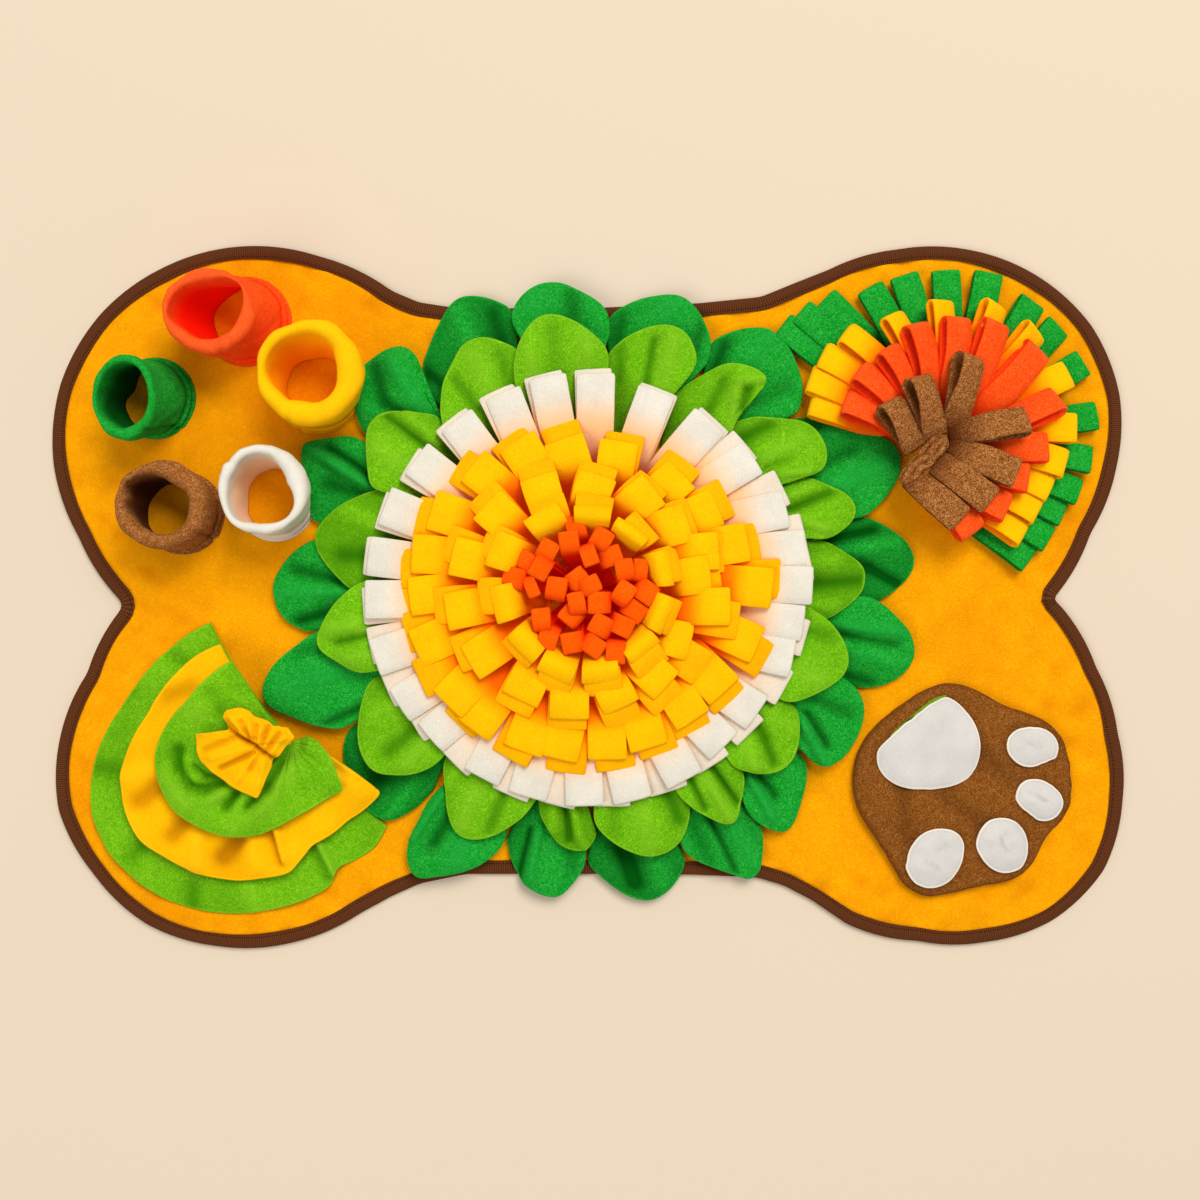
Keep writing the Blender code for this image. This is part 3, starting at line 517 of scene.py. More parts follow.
BINDING = make_binding()
SEAM_INSET, SEAM_LEVEL = 9.0, 4.45  # mm from the edge in to the seam, and above the floor
seam_line = bone_outline(EDGE_STEP)
seam_line = np.column_stack([
    seam_line + inwards(seam_line) * SEAM_INSET, np.full(len(seam_line), SEAM_LEVEL)])
make_stitches("binding_stitches", seam_line, 3.6, 2.7, 0.55, THREAD)
print("binding:", len(BINDING.data.polygons), "faces")

# %% [markdown]
# ## Petals
# Each petal is cut with a narrow root and a round or pointed tip and is sewn on at the root. The
# outer part lies loose, laps its neighbour and droops at the rim, and no two have the same edge
# or folds. So every petal has a row of its own: the edge read off round the flower, and its main
# folds as soft ridges and troughs along short lines. Rays from the root to the edge make the grid.

# %% Petal tables
FLOWER = np.array([0.5, 5.5])
# A petal: 1 or -1 where its clockwise side lies over or under the next petal; its edge from the
# counter-clockwise side to the other as (angle, distance from the flower's middle); its folds as
# (angle, distance) of both ends, width and rise.
DARK_PETALS = (
    (1, ((105, 222), (106, 231), (105.6, 239), (103.5, 249), (101, 255.5), (98.5, 258.5), (95, 256.5),
         (92, 250), (89.5, 244), (87, 237), (85.8, 229), (85.3, 215)),
     ((93, 244, 94, 215, 9, -2.5), (101, 245, 100, 215, 8, 1.5))),
    (1, ((86, 214), (86, 228), (84, 236), (81.5, 243), (79, 249), (74.5, 256), (72.5, 257.5), (70.5, 255),
         (68.5, 250), (66.5, 243), (65, 237), (64, 232), (63, 225), (62.5, 212)),
     ((66.5, 240, 67, 212, 6, -2.5), (74, 248, 75, 215, 9, 1.5), (83, 228, 83.5, 210, 6, -2))),
    (1, ((61.5, 207), (63.5, 225), (64, 232), (62.5, 240), (61, 247), (59.5, 254), (57.5, 260), (56, 265),
         (54.5, 266.5), (50, 262), (47, 255), (45, 251), (43, 244), (41.5, 237), (40, 228), (42.5, 210)),
     ((61, 236, 60, 208, 6, -3), (55, 258, 55.5, 215, 9, 1.5), (46, 236, 48, 210, 8, -2))),
    (1, ((41, 214), (39.6, 228), (37, 237), (35, 245), (33, 253), (31, 262), (29, 271), (27.5, 277),
         (26.5, 282), (25, 284.5), (23.5, 284), (21.5, 280), (20, 275), (18.5, 268), (17.5, 260),
         (16.5, 252), (15.5, 245), (14.8, 237), (15.5, 220)),
     ((28, 250, 28, 215, 6, -2.6), (23, 268, 23, 215, 9, 1.8), (33, 244, 34, 215, 7, 1.5))),
    (-1, ((14, 215), (15.2, 238), (13.5, 248), (12, 255.5), (10, 264), (8, 271), (6, 274.5), (4, 273),
          (2, 267), (0, 257), (-1.5, 247), (-2.5, 238), (-3.5, 224)),
     ((1.2, 259, 4.5, 236, 4.5, -3.6), (4.5, 236, 6, 215, 5, -3.6), (12, 244, 12, 205, 5, -3),
      (9, 262, 8.5, 215, 6, 2.2))),
    (-1, ((-2, 210), (-1, 232), (-2.2, 242), (-3.5, 250), (-5, 258), (-6.5, 266), (-8, 272), (-10, 276.5),
          (-11.5, 277.5), (-13, 276.5), (-15, 272), (-16.5, 266), (-18, 258), (-19, 250), (-20, 240),
          (-19.5, 226)),
     ((-7.5, 265, -8, 212, 5, 2.6), (-10, 262, -10, 210, 4, -3.2), (-13.5, 266, -13.5, 212, 6, 2),
      (-18, 248, -18.5, 215, 5, -2.4))),
    (1, ((-18, 208), (-19.5, 232), (-20.5, 240), (-22.5, 248), (-25, 252), (-28, 254.5), (-31.5, 254.5),
         (-34, 252.5), (-36, 248), (-37.3, 242), (-37.4, 236), (-36.8, 226), (-37, 212)),
     ((-36.2, 246, -35, 232, 3.4, 4.4), (-35, 232, -31.5, 208, 3.8, 4.6), (-33, 236, -29.5, 208, 4.5, -3.6),
      (-25.5, 240, -25.5, 208, 6, -2.6))),
    (1, ((-37.8, 210), (-37.8, 226), (-38.5, 233), (-40.5, 240), (-43.5, 247), (-46, 253), (-48.5, 259),
         (-50, 261), (-51.2, 259.5), (-52.5, 252), (-53.5, 243), (-54.4, 234), (-54, 222), (-52, 206)),
     ((-51, 243, -49.2, 206, 3.8, 4), (-47.8, 232, -47.2, 206, 4, -3.4), (-42, 236, -42, 210, 7, 1.5))),
    (1, ((-55, 222), (-53.5, 236), (-53.8, 246), (-55, 254), (-56.2, 262), (-57.5, 269), (-59, 275),
         (-60.2, 278), (-61, 276), (-62.5, 269), (-64, 261), (-65.5, 254), (-67.5, 246), (-69, 238),
         (-70.3, 228), (-69, 212)),
     ((-58.5, 270, -59, 215, 5, 3.2), (-62.4, 264, -61.6, 205, 3.6, -3.6), (-66, 246, -66, 215, 7, -2))),
    (-1, ((-71.5, 215), (-70.3, 232), (-70.2, 241), (-72, 250), (-74, 257), (-76, 262), (-78, 264.5),
          (-80, 264), (-83, 257), (-85, 250), (-87, 242), (-89, 234), (-90.6, 227), (-89, 212)),
     ((-81, 247, -82.5, 212, 8, -3.8), (-75.5, 252, -76, 215, 8, 2))),
    (-1, ((-90.5, 212), (-90.7, 229), (-92, 238), (-93.5, 247), (-95, 255), (-96, 257.5), (-98.5, 257.5),
          (-101, 254), (-103, 250), (-104, 244), (-105.5, 237), (-107, 228), (-108.2, 218)),
     ((-101.6, 243, -101.8, 205, 3.6, 3.6), (-103.7, 245, -103.6, 205, 3.2, -3.6),
      (-93.5, 232, -94, 208, 7, -2))),
    (1, ((-109, 210), (-108.3, 223), (-109.5, 232), (-111, 243), (-112.5, 250), (-114.5, 258),
         (-116.5, 265), (-118.5, 271), (-120, 277.5), (-121, 279.5), (-122.5, 277), (-124, 270),
         (-125.5, 260), (-126, 248), (-126.3, 236), (-127.3, 226), (-127, 210)),
     ((-121.4, 248, -121.6, 210, 5.5, -3.6), (-125.2, 252, -125.6, 208, 3, 3),
      (-116, 252, -117, 215, 9, 1.8))),
    (-1, ((-128, 212), (-128, 224), (-129, 240), (-130.5, 254), (-132, 259), (-136, 261), (-141, 258),
          (-145.5, 249), (-148.5, 240), (-150, 231), (-150.5, 216)),
     ((-131.5, 250, -132, 215, 6, 2), (-138, 245, -139, 212, 10, -2))),
    (1, ((-151.5, 212), (-150.2, 232), (-151.5, 241), (-153, 250), (-155, 260), (-157, 268), (-158.5, 277),
         (-160, 283), (-161.5, 286), (-163, 284.5), (-164.5, 279), (-166.5, 271), (-167.5, 263),
         (-168.5, 255), (-169.5, 245), (-170.7, 236), (-171.8, 226), (-170.5, 208)),
     ((-153.2, 244, -152.4, 200, 4, -3.6), (-162, 262, -162, 208, 9, 2),
      (-168, 246, -168, 212, 6, -2))),
    (1, ((187, 208), (188.5, 226), (188.3, 239), (187, 247), (185.5, 255), (183.5, 260), (181, 263),
         (179, 263.5), (177, 260), (175.5, 256), (173.5, 251), (172, 245), (170.5, 238), (169.2, 231),
         (170, 214)),
     ((186, 243, 184, 205, 5, -3.8), (180.5, 252, 180.5, 208, 5, 2.6), (176, 244, 177.8, 205, 6, -3.4))),
    (1, ((164, 206), (165.5, 224), (166.3, 234), (165.5, 240), (161, 247), (158.5, 252), (156.5, 260),
         (155, 265.5), (153.5, 267), (151.8, 265), (151, 258), (150, 252), (149, 247), (147.5, 239),
         (146.3, 230), (147, 212)),
     ((153, 263, 153.6, 238, 3.6, 4.6), (153.6, 238, 154.4, 205, 4, 4.6),
      (151.2, 248, 152.2, 205, 4.4, -4.4), (158, 234, 157, 205, 7, -3))),
    (1, ((146, 208), (144.9, 228), (144.3, 236), (143, 243), (141, 250), (139.5, 257), (137.5, 263),
         (135.5, 266), (132, 263.5), (129.5, 262), (127.5, 257), (126.2, 249), (126.3, 241), (127.5, 231),
         (129.5, 214)),
     ((134, 258, 137.4, 232, 6, -3.4), (137.4, 232, 136.4, 205, 5, -3.6), (131, 252, 132.6, 210, 6, 2.6),
      (141, 244, 140.5, 212, 6, 1.6))),
    (-1, ((129.5, 208), (128.3, 221), (127.5, 230), (125.5, 237), (123, 244), (121, 251), (118.5, 258),
          (116.5, 264), (114.5, 268), (113, 267.5), (111, 264), (109, 259), (107, 252), (105.5, 246),
          (105, 240), (105.5, 226)),
     ((126.5, 226, 125, 205, 6, -2.6), (115, 258, 115.5, 215, 9, 1.8), (109, 246, 109.5, 215, 7, -2))),
)
LIGHT_PETALS = (
    (1, ((109.8, 176), (108.5, 194), (106.5, 207), (104, 218), (101.5, 227), (99, 230), (96, 227.5),
         (92, 219.5), (89, 210.5), (86, 201), (84.8, 192), (85.2, 176)),
     ((98, 216, 99, 176, 8, -1.8), (104, 202, 104.5, 176, 6, 2), (90.5, 205, 90, 176, 7, 1.8))),
    (1, ((87, 178), (85, 198), (82, 209.5), (79, 218.5), (76, 225.5), (73.5, 229), (71, 229), (68.5, 225.5),
         (66, 216.5), (64.4, 208), (64.3, 202), (65.4, 190), (66.5, 174)),
     ((75.3, 214, 74.4, 176, 3.6, -3.6), (71, 218, 70.6, 176, 6, 2.4), (82.5, 200, 82, 176, 5, -2))),
    (1, ((67, 172), (64, 191), (61.5, 204), (59.5, 216.5), (57.5, 222.5), (54.5, 227.5), (51.5, 230.5),
         (50, 229.5), (49.2, 223), (49.1, 207), (49.3, 189), (48, 176)),
     ((50.3, 226, 54.4, 211, 3, 3.8), (54.4, 211, 52.6, 200, 3.2, 4.4), (52.6, 200, 47.5, 174, 3.6, 4.4),
      (51.5, 212, 50.2, 196, 5, -4.5), (57, 206, 56, 176, 5, -3))),
    (1, ((49.6, 180), (46.5, 198), (43, 208.5), (40, 219.5), (38, 226.5), (35.5, 230), (32, 230),
         (29.5, 226.5), (27.5, 220.5), (26.9, 213.5), (27.6, 205), (28, 194), (29, 174)),
     ((28.4, 206, 30, 192, 3, 3.6), (30, 192, 31.8, 174, 3, 4), (42.5, 202, 44.5, 178, 6, -3),
      (36, 214, 37, 178, 8, 1.6), (33.5, 196, 34.5, 176, 4, -2.4))),
    (1, ((29, 178), (27.5, 203), (25, 211.5), (22.5, 220.5), (20.5, 227.5), (18.5, 231), (16.5, 231),
         (15, 226.5), (14, 220.5), (13.2, 213.5), (12, 203), (12.8, 193), (15, 178)),
     ((22, 216, 21.6, 176, 4.4, -3.8), (14.5, 202, 19.5, 178, 4, 3.6), (25, 204, 25, 178, 5, 2))),
    (-1, ((13.5, 180), (11.5, 202), (9, 211.5), (7, 220.5), (5.5, 227.5), (3.5, 230), (1, 229), (-1, 224.5),
          (-3, 216.5), (-5, 207.5), (-6.5, 200.5), (-8, 191.5), (-8.8, 178)),
     ((2, 224, 1.5, 182, 6, -2.6), (7, 206, 7, 178, 7, 1.8), (-3.5, 202, -3.5, 178, 6, 1.6))),
    (1, ((-4, 178), (-6.5, 195.5), (-9, 206.5), (-11.5, 214.5), (-14, 220.5), (-16.5, 222.5), (-19, 220.5),
         (-22, 212.5), (-25, 203.5), (-27.5, 195.5), (-29.5, 188), (-29.8, 172)),
     ((-11, 202, -10.5, 176, 7, -2.6), (-21.5, 204, -20.5, 176, 8, 1.8))),
    (1, ((-28.8, 172), (-29.2, 190.5), (-29.6, 199), (-32.5, 206.5), (-36, 214.5), (-39, 218.5), (-41, 219),
         (-43, 217.5), (-45, 213.5), (-47, 206.5), (-48.5, 198.5), (-50, 192.5), (-50.8, 186), (-50, 172)),
     ((-43, 209, -40.2, 190, 4.4, -4.2), (-40.2, 190, -38, 172, 4.6, -4.4),
      (-46.8, 200, -43.5, 174, 4.6, 3.4), (-34, 204, -34, 174, 7, 2))),
    (1, ((-49, 174), (-49.6, 198.5), (-51, 204.5), (-53.5, 212.5), (-56, 222.5), (-57.5, 226.5),
         (-59, 225.5), (-60.5, 220.5), (-62, 211.5), (-63, 206.5), (-64, 201.5), (-65, 193.5), (-66.3, 184),
         (-66.5, 172)),
     ((-55, 214, -55, 172, 3.6, -4.6), (-58.2, 222, -58, 176, 4.4, 3.4),
      (-62, 204, -61.6, 174, 3.4, -4))),
    (1, ((-64.3, 178), (-64.7, 196.5), (-66, 205.5), (-68, 214.5), (-69.5, 220.5), (-72, 224.5),
         (-74, 226.5), (-77, 226), (-79, 222.5), (-81, 217.5), (-83, 212.5), (-85, 206.5), (-86.5, 200.5),
         (-88, 194.5), (-88.8, 188), (-88.3, 174)),
     ((-68.5, 204, -68.5, 176, 6, -3), (-76, 216, -76.5, 176, 8, 1.8), (-84, 202, -83.5, 176, 7, -1.6))),
    (-1, ((-92.5, 174), (-89.6, 192), (-87.8, 201.5), (-89, 208.5), (-90, 213.5), (-91.5, 216), (-94, 215),
          (-96, 212.5), (-98, 207.5), (-99, 201.5), (-101, 194.5), (-102.5, 187.5), (-103.6, 174)),
     ((-90.6, 212, -92, 203, 3, 3.6), (-92, 203, -94.6, 176, 3.4, 4), (-94.4, 206, -95.8, 174, 3.8, -4.2),
      (-99, 199, -99, 176, 4.4, 2.6))),
    (-1, ((-104, 176), (-105.5, 190.5), (-107, 198.5), (-109, 207.5), (-111, 216.5), (-113, 222.5),
          (-115, 227.5), (-117.5, 229.5), (-119, 227.5), (-120.5, 223.5), (-122, 218.5), (-123.5, 212.5),
          (-124.5, 207.5), (-125.5, 202.5), (-128, 193.5), (-130, 187.5), (-130.7, 176)),
     ((-112.5, 214, -112.5, 174, 5, -3), (-118.5, 218, -120, 182, 8, 2),
      (-126, 196, -126.5, 176, 5, 2))),
    (-1, ((-131.2, 172), (-131, 186), (-131.5, 194), (-133, 205.5), (-134.5, 213.5), (-136.5, 220.5),
          (-138, 227.5), (-140, 232), (-141.5, 233), (-144, 231.5), (-147, 227.5), (-150, 219.5),
          (-152.5, 212.5), (-155, 204.5), (-157, 197.5), (-158, 192.5), (-157.5, 178)),
     ((-141, 212, -141.6, 178, 7, -3.2), (-136.5, 206, -137, 178, 6, 2.2),
      (-150, 204, -149.5, 178, 7, 1.8))),
    (1, ((-158.8, 180), (-160, 199.5), (-162, 207.5), (-164, 213.5), (-165.5, 219.5), (-167.5, 226.5),
         (-169, 228), (-170.5, 226.5), (-173, 219.5), (-175, 214.5), (-177, 208.5), (-178.5, 202.5),
         (-179.5, 198.5), (-181.5, 190.5), (-182.8, 178)),
     ((-168.2, 212, -168.6, 180, 3.4, -3.6), (-171.5, 214, -171.5, 180, 6, 2.4),
      (-164, 204, -163.5, 180, 6, 1.8))),
    (-1, ((181, 182), (179.8, 197), (178, 203.5), (176, 211.5), (174.5, 217.5), (172.5, 224.5),
          (171, 228.5), (168.5, 231), (166.5, 230), (164.5, 225.5), (162, 219.5), (159.5, 211.5),
          (157.5, 204.5), (156, 198.5), (154, 192.5), (152.5, 178)),
     ((172, 206, 171, 180, 8, -2.4), (162, 210, 162.5, 180, 8, 2.2))),
    (-1, ((153.5, 172), (154.8, 194), (154.6, 199), (151, 207.5), (148.5, 214.5), (146, 220.5),
          (144.5, 225.5), (143, 227.5), (140, 226.5), (138.5, 223.5), (137, 216.5), (135.5, 210.5),
          (134, 203.5), (132.5, 197.5), (131, 192.5), (130.6, 186), (131.6, 174)),
     ((139.2, 220, 138.4, 176, 3.6, -3.6), (135.8, 206, 135.4, 174, 4.6, 3.2),
      (146, 212, 146, 176, 8, 1.6))),
    (-1, ((131.8, 178), (129.5, 191.5), (127, 200.5), (125, 208.5), (122.5, 214.5), (120, 219.5),
          (118.5, 225.5), (116.5, 228.5), (114.5, 228.5), (112.5, 226.5), (110.5, 221.5), (109, 216.5),
          (107.5, 211.5), (106, 207.5), (107, 198), (109.3, 178)),
     ((122.3, 206, 121.6, 176, 5, -2.8), (116, 216, 116, 178, 8, 1.8), (110.5, 208, 111, 178, 5, -1.8))),
)
# How high each ring lies, as distance from the flower's middle and height.
DARK_HEIGHT = ((150, 4.4), (165, 9.5), (185, 13.2), (240, 12.8), (300, 11.0))
LIGHT_HEIGHT = ((126, 4.4), (140, 14.0), (155, 22.0), (175, 28.5), (195, 27.5), (240, 24.0))
FLEECE_THICKNESS = 2.0
PETAL_LAP = 4.2  # mm that a petal's side is lifted over its neighbour, or pressed under it
PETAL_COVER = 29.5  # mm, about the fringe's underside: the inner petals' roots stay below it
print("petals in the tables:", len(DARK_PETALS), "dark and", len(LIGHT_PETALS), "light")


# %% A petal's surface
def petal(edge, folds, heights, near_side, far_side, seed):
    """A petal's middle surface and its tone: 28 steps from root to edge, 43 round the edge.

    Place = root + u (edge - root). Height = the layer's own at that distance + the lap of the sides
    + the folds + a droop at the rim + a ripple; the part under the fringe keeps below the cover.
    """
    angles, reaches = np.array(edge, float).T
    rim = soft_line(heading(angles) * reaches[:, None], 43, 4)
    share = np.linspace(0, 1, 43)
    half = 0.22 * (angles[0] - angles[-1])
    root = heading((angles[0] + angles[-1]) / 2 + half * (1 - 2 * share)) * heights[0][0]
    u = np.concatenate([np.linspace(0, 0.96, 25), [0.98, 0.992, 1.0]])[:, None]
    x = root[:, 0] * (1 - u) + rim[:, 0] * u
    y = root[:, 1] * (1 - u) + rim[:, 1] * u
    distance = np.hypot(x, y)
    side = (near_side * (1 - share) + far_side * share)[None, :] * ease(u / 0.35)
    lines = [(*heading(a) * r, *heading(b) * q, width, rise) for a, r, b, q, width, rise in folds]
    fold = relief(x, y, lines)
    from_rim = (1 - u) * np.linalg.norm(rim - root, axis=1)
    height = np.interp(distance, *np.array(heights, float).T) + PETAL_LAP * side + 1.5 * fold
    crown = np.sin(np.pi * share)[None, :] * ease(u * 2)
    height += 1.1 * ripple(x, y, 36, 40 + seed) * ease(u / 0.3) + crown
    height -= 1.5 * bump_at(from_rim, 0, 4.0)
    under_fringe = ease((194 - distance) / 14) * (heights is LIGHT_HEIGHT)
    height -= np.clip(height - PETAL_COVER, 0, None) * under_fringe
    # Painted light: painted shade in the troughs and on a side that lies under its neighbour, a painted
    # highlight on the ridges and along the cut rim.
    tone = 0.8 * np.clip(-fold / 3.5, -0.5, 1) + 0.45 * np.clip(-side, 0, 1) - 0.8 * bump_at(from_rim, 0, 0.7)
    middle = np.stack([x + FLOWER[0], y + FLOWER[1], np.maximum(height, 5.0)], axis=2)
    return middle, tone


def put_sheet(name, middle, tone, material, node):
    """A cut sheet from its middle surface and tone, standing for one CAD solid."""
    points, faces, tones = cut_sheet(middle, FLEECE_THICKNESS, tone)
    return put(name, points, faces, material, [node], tone=tones)


def make_petals(prefix, rows, heights, material, node_prefix):
    """One ring of petals, each its own sheet, lapped over or under its neighbours.
    """
    for number, (over_next, edge, folds) in enumerate(rows):
        middle, tone = petal(edge, folds, heights, -rows[number - 1][0], over_next, number)
        label = f"{number + 1:02d}"
        piece = put_sheet(f"{prefix}_{label}", middle, tone, material, f"{node_prefix}_{label}")


make_petals("outer_petal", DARK_PETALS, DARK_HEIGHT, DARK_GREEN, "petal_dark")
make_petals("inner_petal", LIGHT_PETALS, LIGHT_HEIGHT, LIGHT_GREEN, "petal_light")
print("petals made:", len(DARK_PETALS) + len(LIGHT_PETALS))

# %% [markdown]
# ## Folded strips
# The flower's body is fringe: bands of fleece cut into strips, each folded over into a flat loop,
# two loops lying together. One function makes every loop on the mat. It takes the middle line and
# runs out below it, round the fold and back above it, carrying a strip's section with soft
# corners. All loops of a ring are worked out in one go, as arrays of loops x steps.

# %% One function for all loops
# The section of a strip: across -1..1 and through -1..1, twelve points round.
SECTION = np.array([
    (-0.96, 0.9), (-0.5, 1), (0.5, 1), (0.96, 0.9), (1, 0.35), (1, -0.35),
    (0.96, -0.9), (0.5, -1), (-0.5, -1), (-0.96, -0.9), (-1, -0.35), (-1, 0.35)])
SECTION_ENDS = ((0, 1, 8, 9), (1, 2, 7, 8), (2, 3, 6, 7), (3, 4, 5, 6), (9, 10, 11, 0))
LEG, FOLD = 14, 7  # steps along each leg and round the fold
STRIP_THICKNESS = 2.2
# The section of the band that carries the strips, as shares of its half width and half height.
BAND_SECTION = np.array([
    (-1, 0.4), (-0.9, 1), (0.9, 1), (1, 0.4), (1, -0.6), (0.9, -1), (-0.9, -1), (-1, -0.6)])
BAND_LEVEL, BAND_HALF = 4.4, 0.95  # mm, the height of a band's middle and half its thickness


def bezier(controls, share):
    """Points of Bezier curves: sum of C(n,k) s^k (1-s)^(n-k) P_k. Controls: loops x points x 3."""
    last = controls.shape[1] - 1
    weights = [math.comb(last, k) * share ** k * (1 - share) ** (last - k) for k in range(last + 1)]
    return np.einsum("sk,nkd->nsd", np.stack(weights, axis=1), controls)


def folded_loops(middle, side, width, gap, seed, glow=(9.0, 26.0), base_tone=0.0, side_shade=0.4):
    """Points, faces and tone of folded strips.

    middle, side: loops x LEG x 3; width, gap: loops x LEG, the strip's width and half the distance
    between its two layers. The lower leg is middle - up * gap, the upper one middle + up * gap,
    and the fold is a half circle of the last gap about the last middle point. The tone is painted
    shade: it deepens with the length from the fold, between the two lengths of glow, is deeper on
    the lower leg and by base_tone on lower loops, a little paler at the fold as a painted highlight,
    and deeper along the sides as painted shade between neighbouring strips, by the last argument.
    """
    rng = np.random.default_rng(seed)
    ahead = unit(np.gradient(middle, axis=1))
    side = unit(side - ahead * np.sum(side * ahead, axis=2, keepdims=True))
    up = np.cross(ahead, side)
    turn = np.linspace(-np.pi / 2, np.pi / 2, FOLD + 2)[1:-1]
    end = [part[:, -1:, :] for part in (middle, ahead, up)]
    bend = end[1] * np.cos(turn)[:, None] + end[2] * np.sin(turn)[:, None]
    back = (middle + up * gap[..., None])[:, ::-1]
    line = np.concatenate([middle - up * gap[..., None], end[0] + bend * gap[:, -1:, None], back], axis=1)
    outer = np.concatenate([-up, bend, up[:, ::-1]], axis=1)
    beside = np.concatenate([side, np.repeat(side[:, -1:], FOLD, axis=1), side[:, ::-1]], axis=1)
    rounding = 1 - 0.03 * np.cos(turn)
    wide = np.concatenate([width, width[:, -1:] * rounding, width[:, ::-1]], axis=1)
    wide = wide + rng.normal(0, 0.12, wide.shape)
    across = SECTION[:, 0] * wide[..., None] / 2
    through = SECTION[:, 1] * STRIP_THICKNESS / 2
    bow = rng.normal(-0.35, 0.25, (len(middle), 1, 1)) * SECTION[:, 0] ** 2
    points = line[:, :, None] + beside[:, :, None] * across[..., None]
    points = points + outer[:, :, None] * (through + bow)[..., None]
    from_fold = np.linalg.norm(np.diff(middle, axis=1), axis=2)[:, ::-1].cumsum(axis=1)
    from_fold = np.concatenate([0 * from_fold[:, :1], from_fold], axis=1)[:, ::-1]
    # Painted shade: deeper away from the fold, on the lower leg and along the sides; paler at the fold.
    deep = ease((from_fold - glow[0]) / (glow[1] - glow[0]))
    at_fold = np.full((len(middle), FOLD), -0.12)
    tone = np.concatenate([0.4 + 0.6 * deep, at_fold, deep[:, ::-1]], axis=1) + base_tone
    edges = np.where(np.abs(SECTION[:, 0]) > 0.98, side_shade, 0.0)
    tone = tone[..., None] + edges * (1 - np.abs(tone[..., None]))
    count, steps, corners = points.shape[:3]
    one = rows_to_faces(steps, corners, wrap_columns=True)
    ends = np.array(SECTION_ENDS)
    one = np.concatenate([one, ends[:, ::-1], ends + (steps - 1) * corners])
    faces = (one[None] + (np.arange(count) * steps * corners)[:, None, None]).reshape(-1, 4)
    return points.reshape(-1, 3), faces, np.clip(tone, -1, 1).ravel()


def cloth_used(middle, width):
    """The flat area of folded strips in square metres: twice the sum of width times length."""
    length = np.linalg.norm(np.diff(middle, axis=1), axis=2)
    return float(2 * (length * (width[:, 1:] + width[:, :-1]) / 2).sum() * MM * MM)


def backing_ring(centre, radius, width, start=0.0, sweep=360.0):
    """A flat band of cloth: its section swept round a centre, with closed ends if it has any.

    Place = centre + (radius + across * width / 2) * heading(angle).
    """
    whole = sweep >= 360
    turn = start + np.linspace(0, sweep, 73)[:-1 if whole else None]
    distance = radius + BAND_SECTION[:, 0] * width / 2
    height = BAND_LEVEL + BAND_SECTION[:, 1] * BAND_HALF
    plan = heading(turn)[:, None] * distance[:, None] + centre
    points = raised(plan, height)
    faces = rows_to_faces(len(turn), 8, wrap_rows=whole, wrap_columns=True).tolist()
    if not whole:
        last = (len(turn) - 1) * 8
        faces += [list(range(8)), [last + k for k in reversed(range(8))]]
    # The band's tone is 1 all over: painted shade where it lies under the strips.
    return points.reshape(-1, 3), faces, np.ones(points[..., 0].size)


def joined(parts):
    """Several (points, faces, tone) as one."""
    points, faces, tones, first = [], [], [], 0
    for some, their_faces, tone in parts:
        points.append(some)
        tones.append(tone)
        faces += [[k + first for k in face] for face in np.asarray(their_faces, dtype=object).tolist()]
        first += len(some)
    return np.concatenate(points), faces, np.concatenate(tones)


def put_fringe(name, parts, material, nodes, count, area):
    """Loops and their backing as one sheet, cut into strips.
    """
    points, faces, tone = joined(parts)
    piece = put(name, points, faces, material, nodes, tone=tone)
    print(f"{name}: {count} loops, {area:.3f} square metres of fleece")


print("a loop has", (2 * LEG + FOLD) * len(SECTION), "points")


# %% [markdown]
# ## The flower's rings
# Each ring stands on its own backing round the flower's middle. A strip rises steeply from there,
# leans over the ring outside it and droops. The tables give the place of each pair as it lies: the
# upper loop's angle and reach, and how the lower loop sticks out from under it.

# %% Ring tables
# Upper loop's angle and reach, lower loop's angle and reach, and how high the pair rides.
WHITE_LOOPS = (
    (2, 183, 7, 183, 3), (11, 181, 15, 183, 0), (23, 175, 28, 180, 0), (39, 173, 43, 176, 0),
    (55, 171, 54, 174, 0), (71, 172, 70, 175, 0), (88, 177, 88.5, 181, 0), (101, 178, 102, 181, 0),
    (114, 176, 115, 180, 0), (128, 176, 129, 180, 0), (143, 177, 144, 180, 0), (158, 180, 159, 183, 0),
    (171, 182, 172, 185, 0), (183, 182, 184, 185, 0), (197, 183, 194, 185, 0), (211, 181, 206, 184, 0),
    (224, 177, 218, 181, 0), (240, 176, 233, 180, 0), (254, 176, 248, 180, 0), (269, 176, 262, 178, 0),
    (282, 176, 276, 178, 0), (298, 174, 292, 178, 0), (311, 169, 306, 176, 0), (324, 171, 319, 177, 0),
    (341, 176, 334, 180, 0), (352, 178, 348, 182, 0),
)
YELLOW_OUTER_LOOPS = (
    (1, 149, 3, 157, 0), (17, 135, 16, 144, 0), (33, 125, 34, 136, 0), (52, 121, 53, 132, 0),
    (79, 123, 76, 131, 0), (99, 124, 100, 137, 0), (116, 134, 118, 141, 0), (132, 138, 136, 147, 0),
    (152.4, 143, 156, 152, 0), (168, 146, 174, 154, 0), (182, 145, 184, 151, 0), (198.4, 148, 192, 153, 0),
    (219, 147, 208, 155, 2), (230, 147, 226, 152, 0), (248, 141, 246, 151, 2), (260, 139, 263, 150, 0),
    (277, 138, 279, 148, 0), (291, 137, 294, 146, 0), (309, 136, 307, 144, 0), (324, 138, 322, 147, 0),
    (341, 145, 338, 156, 0),
)
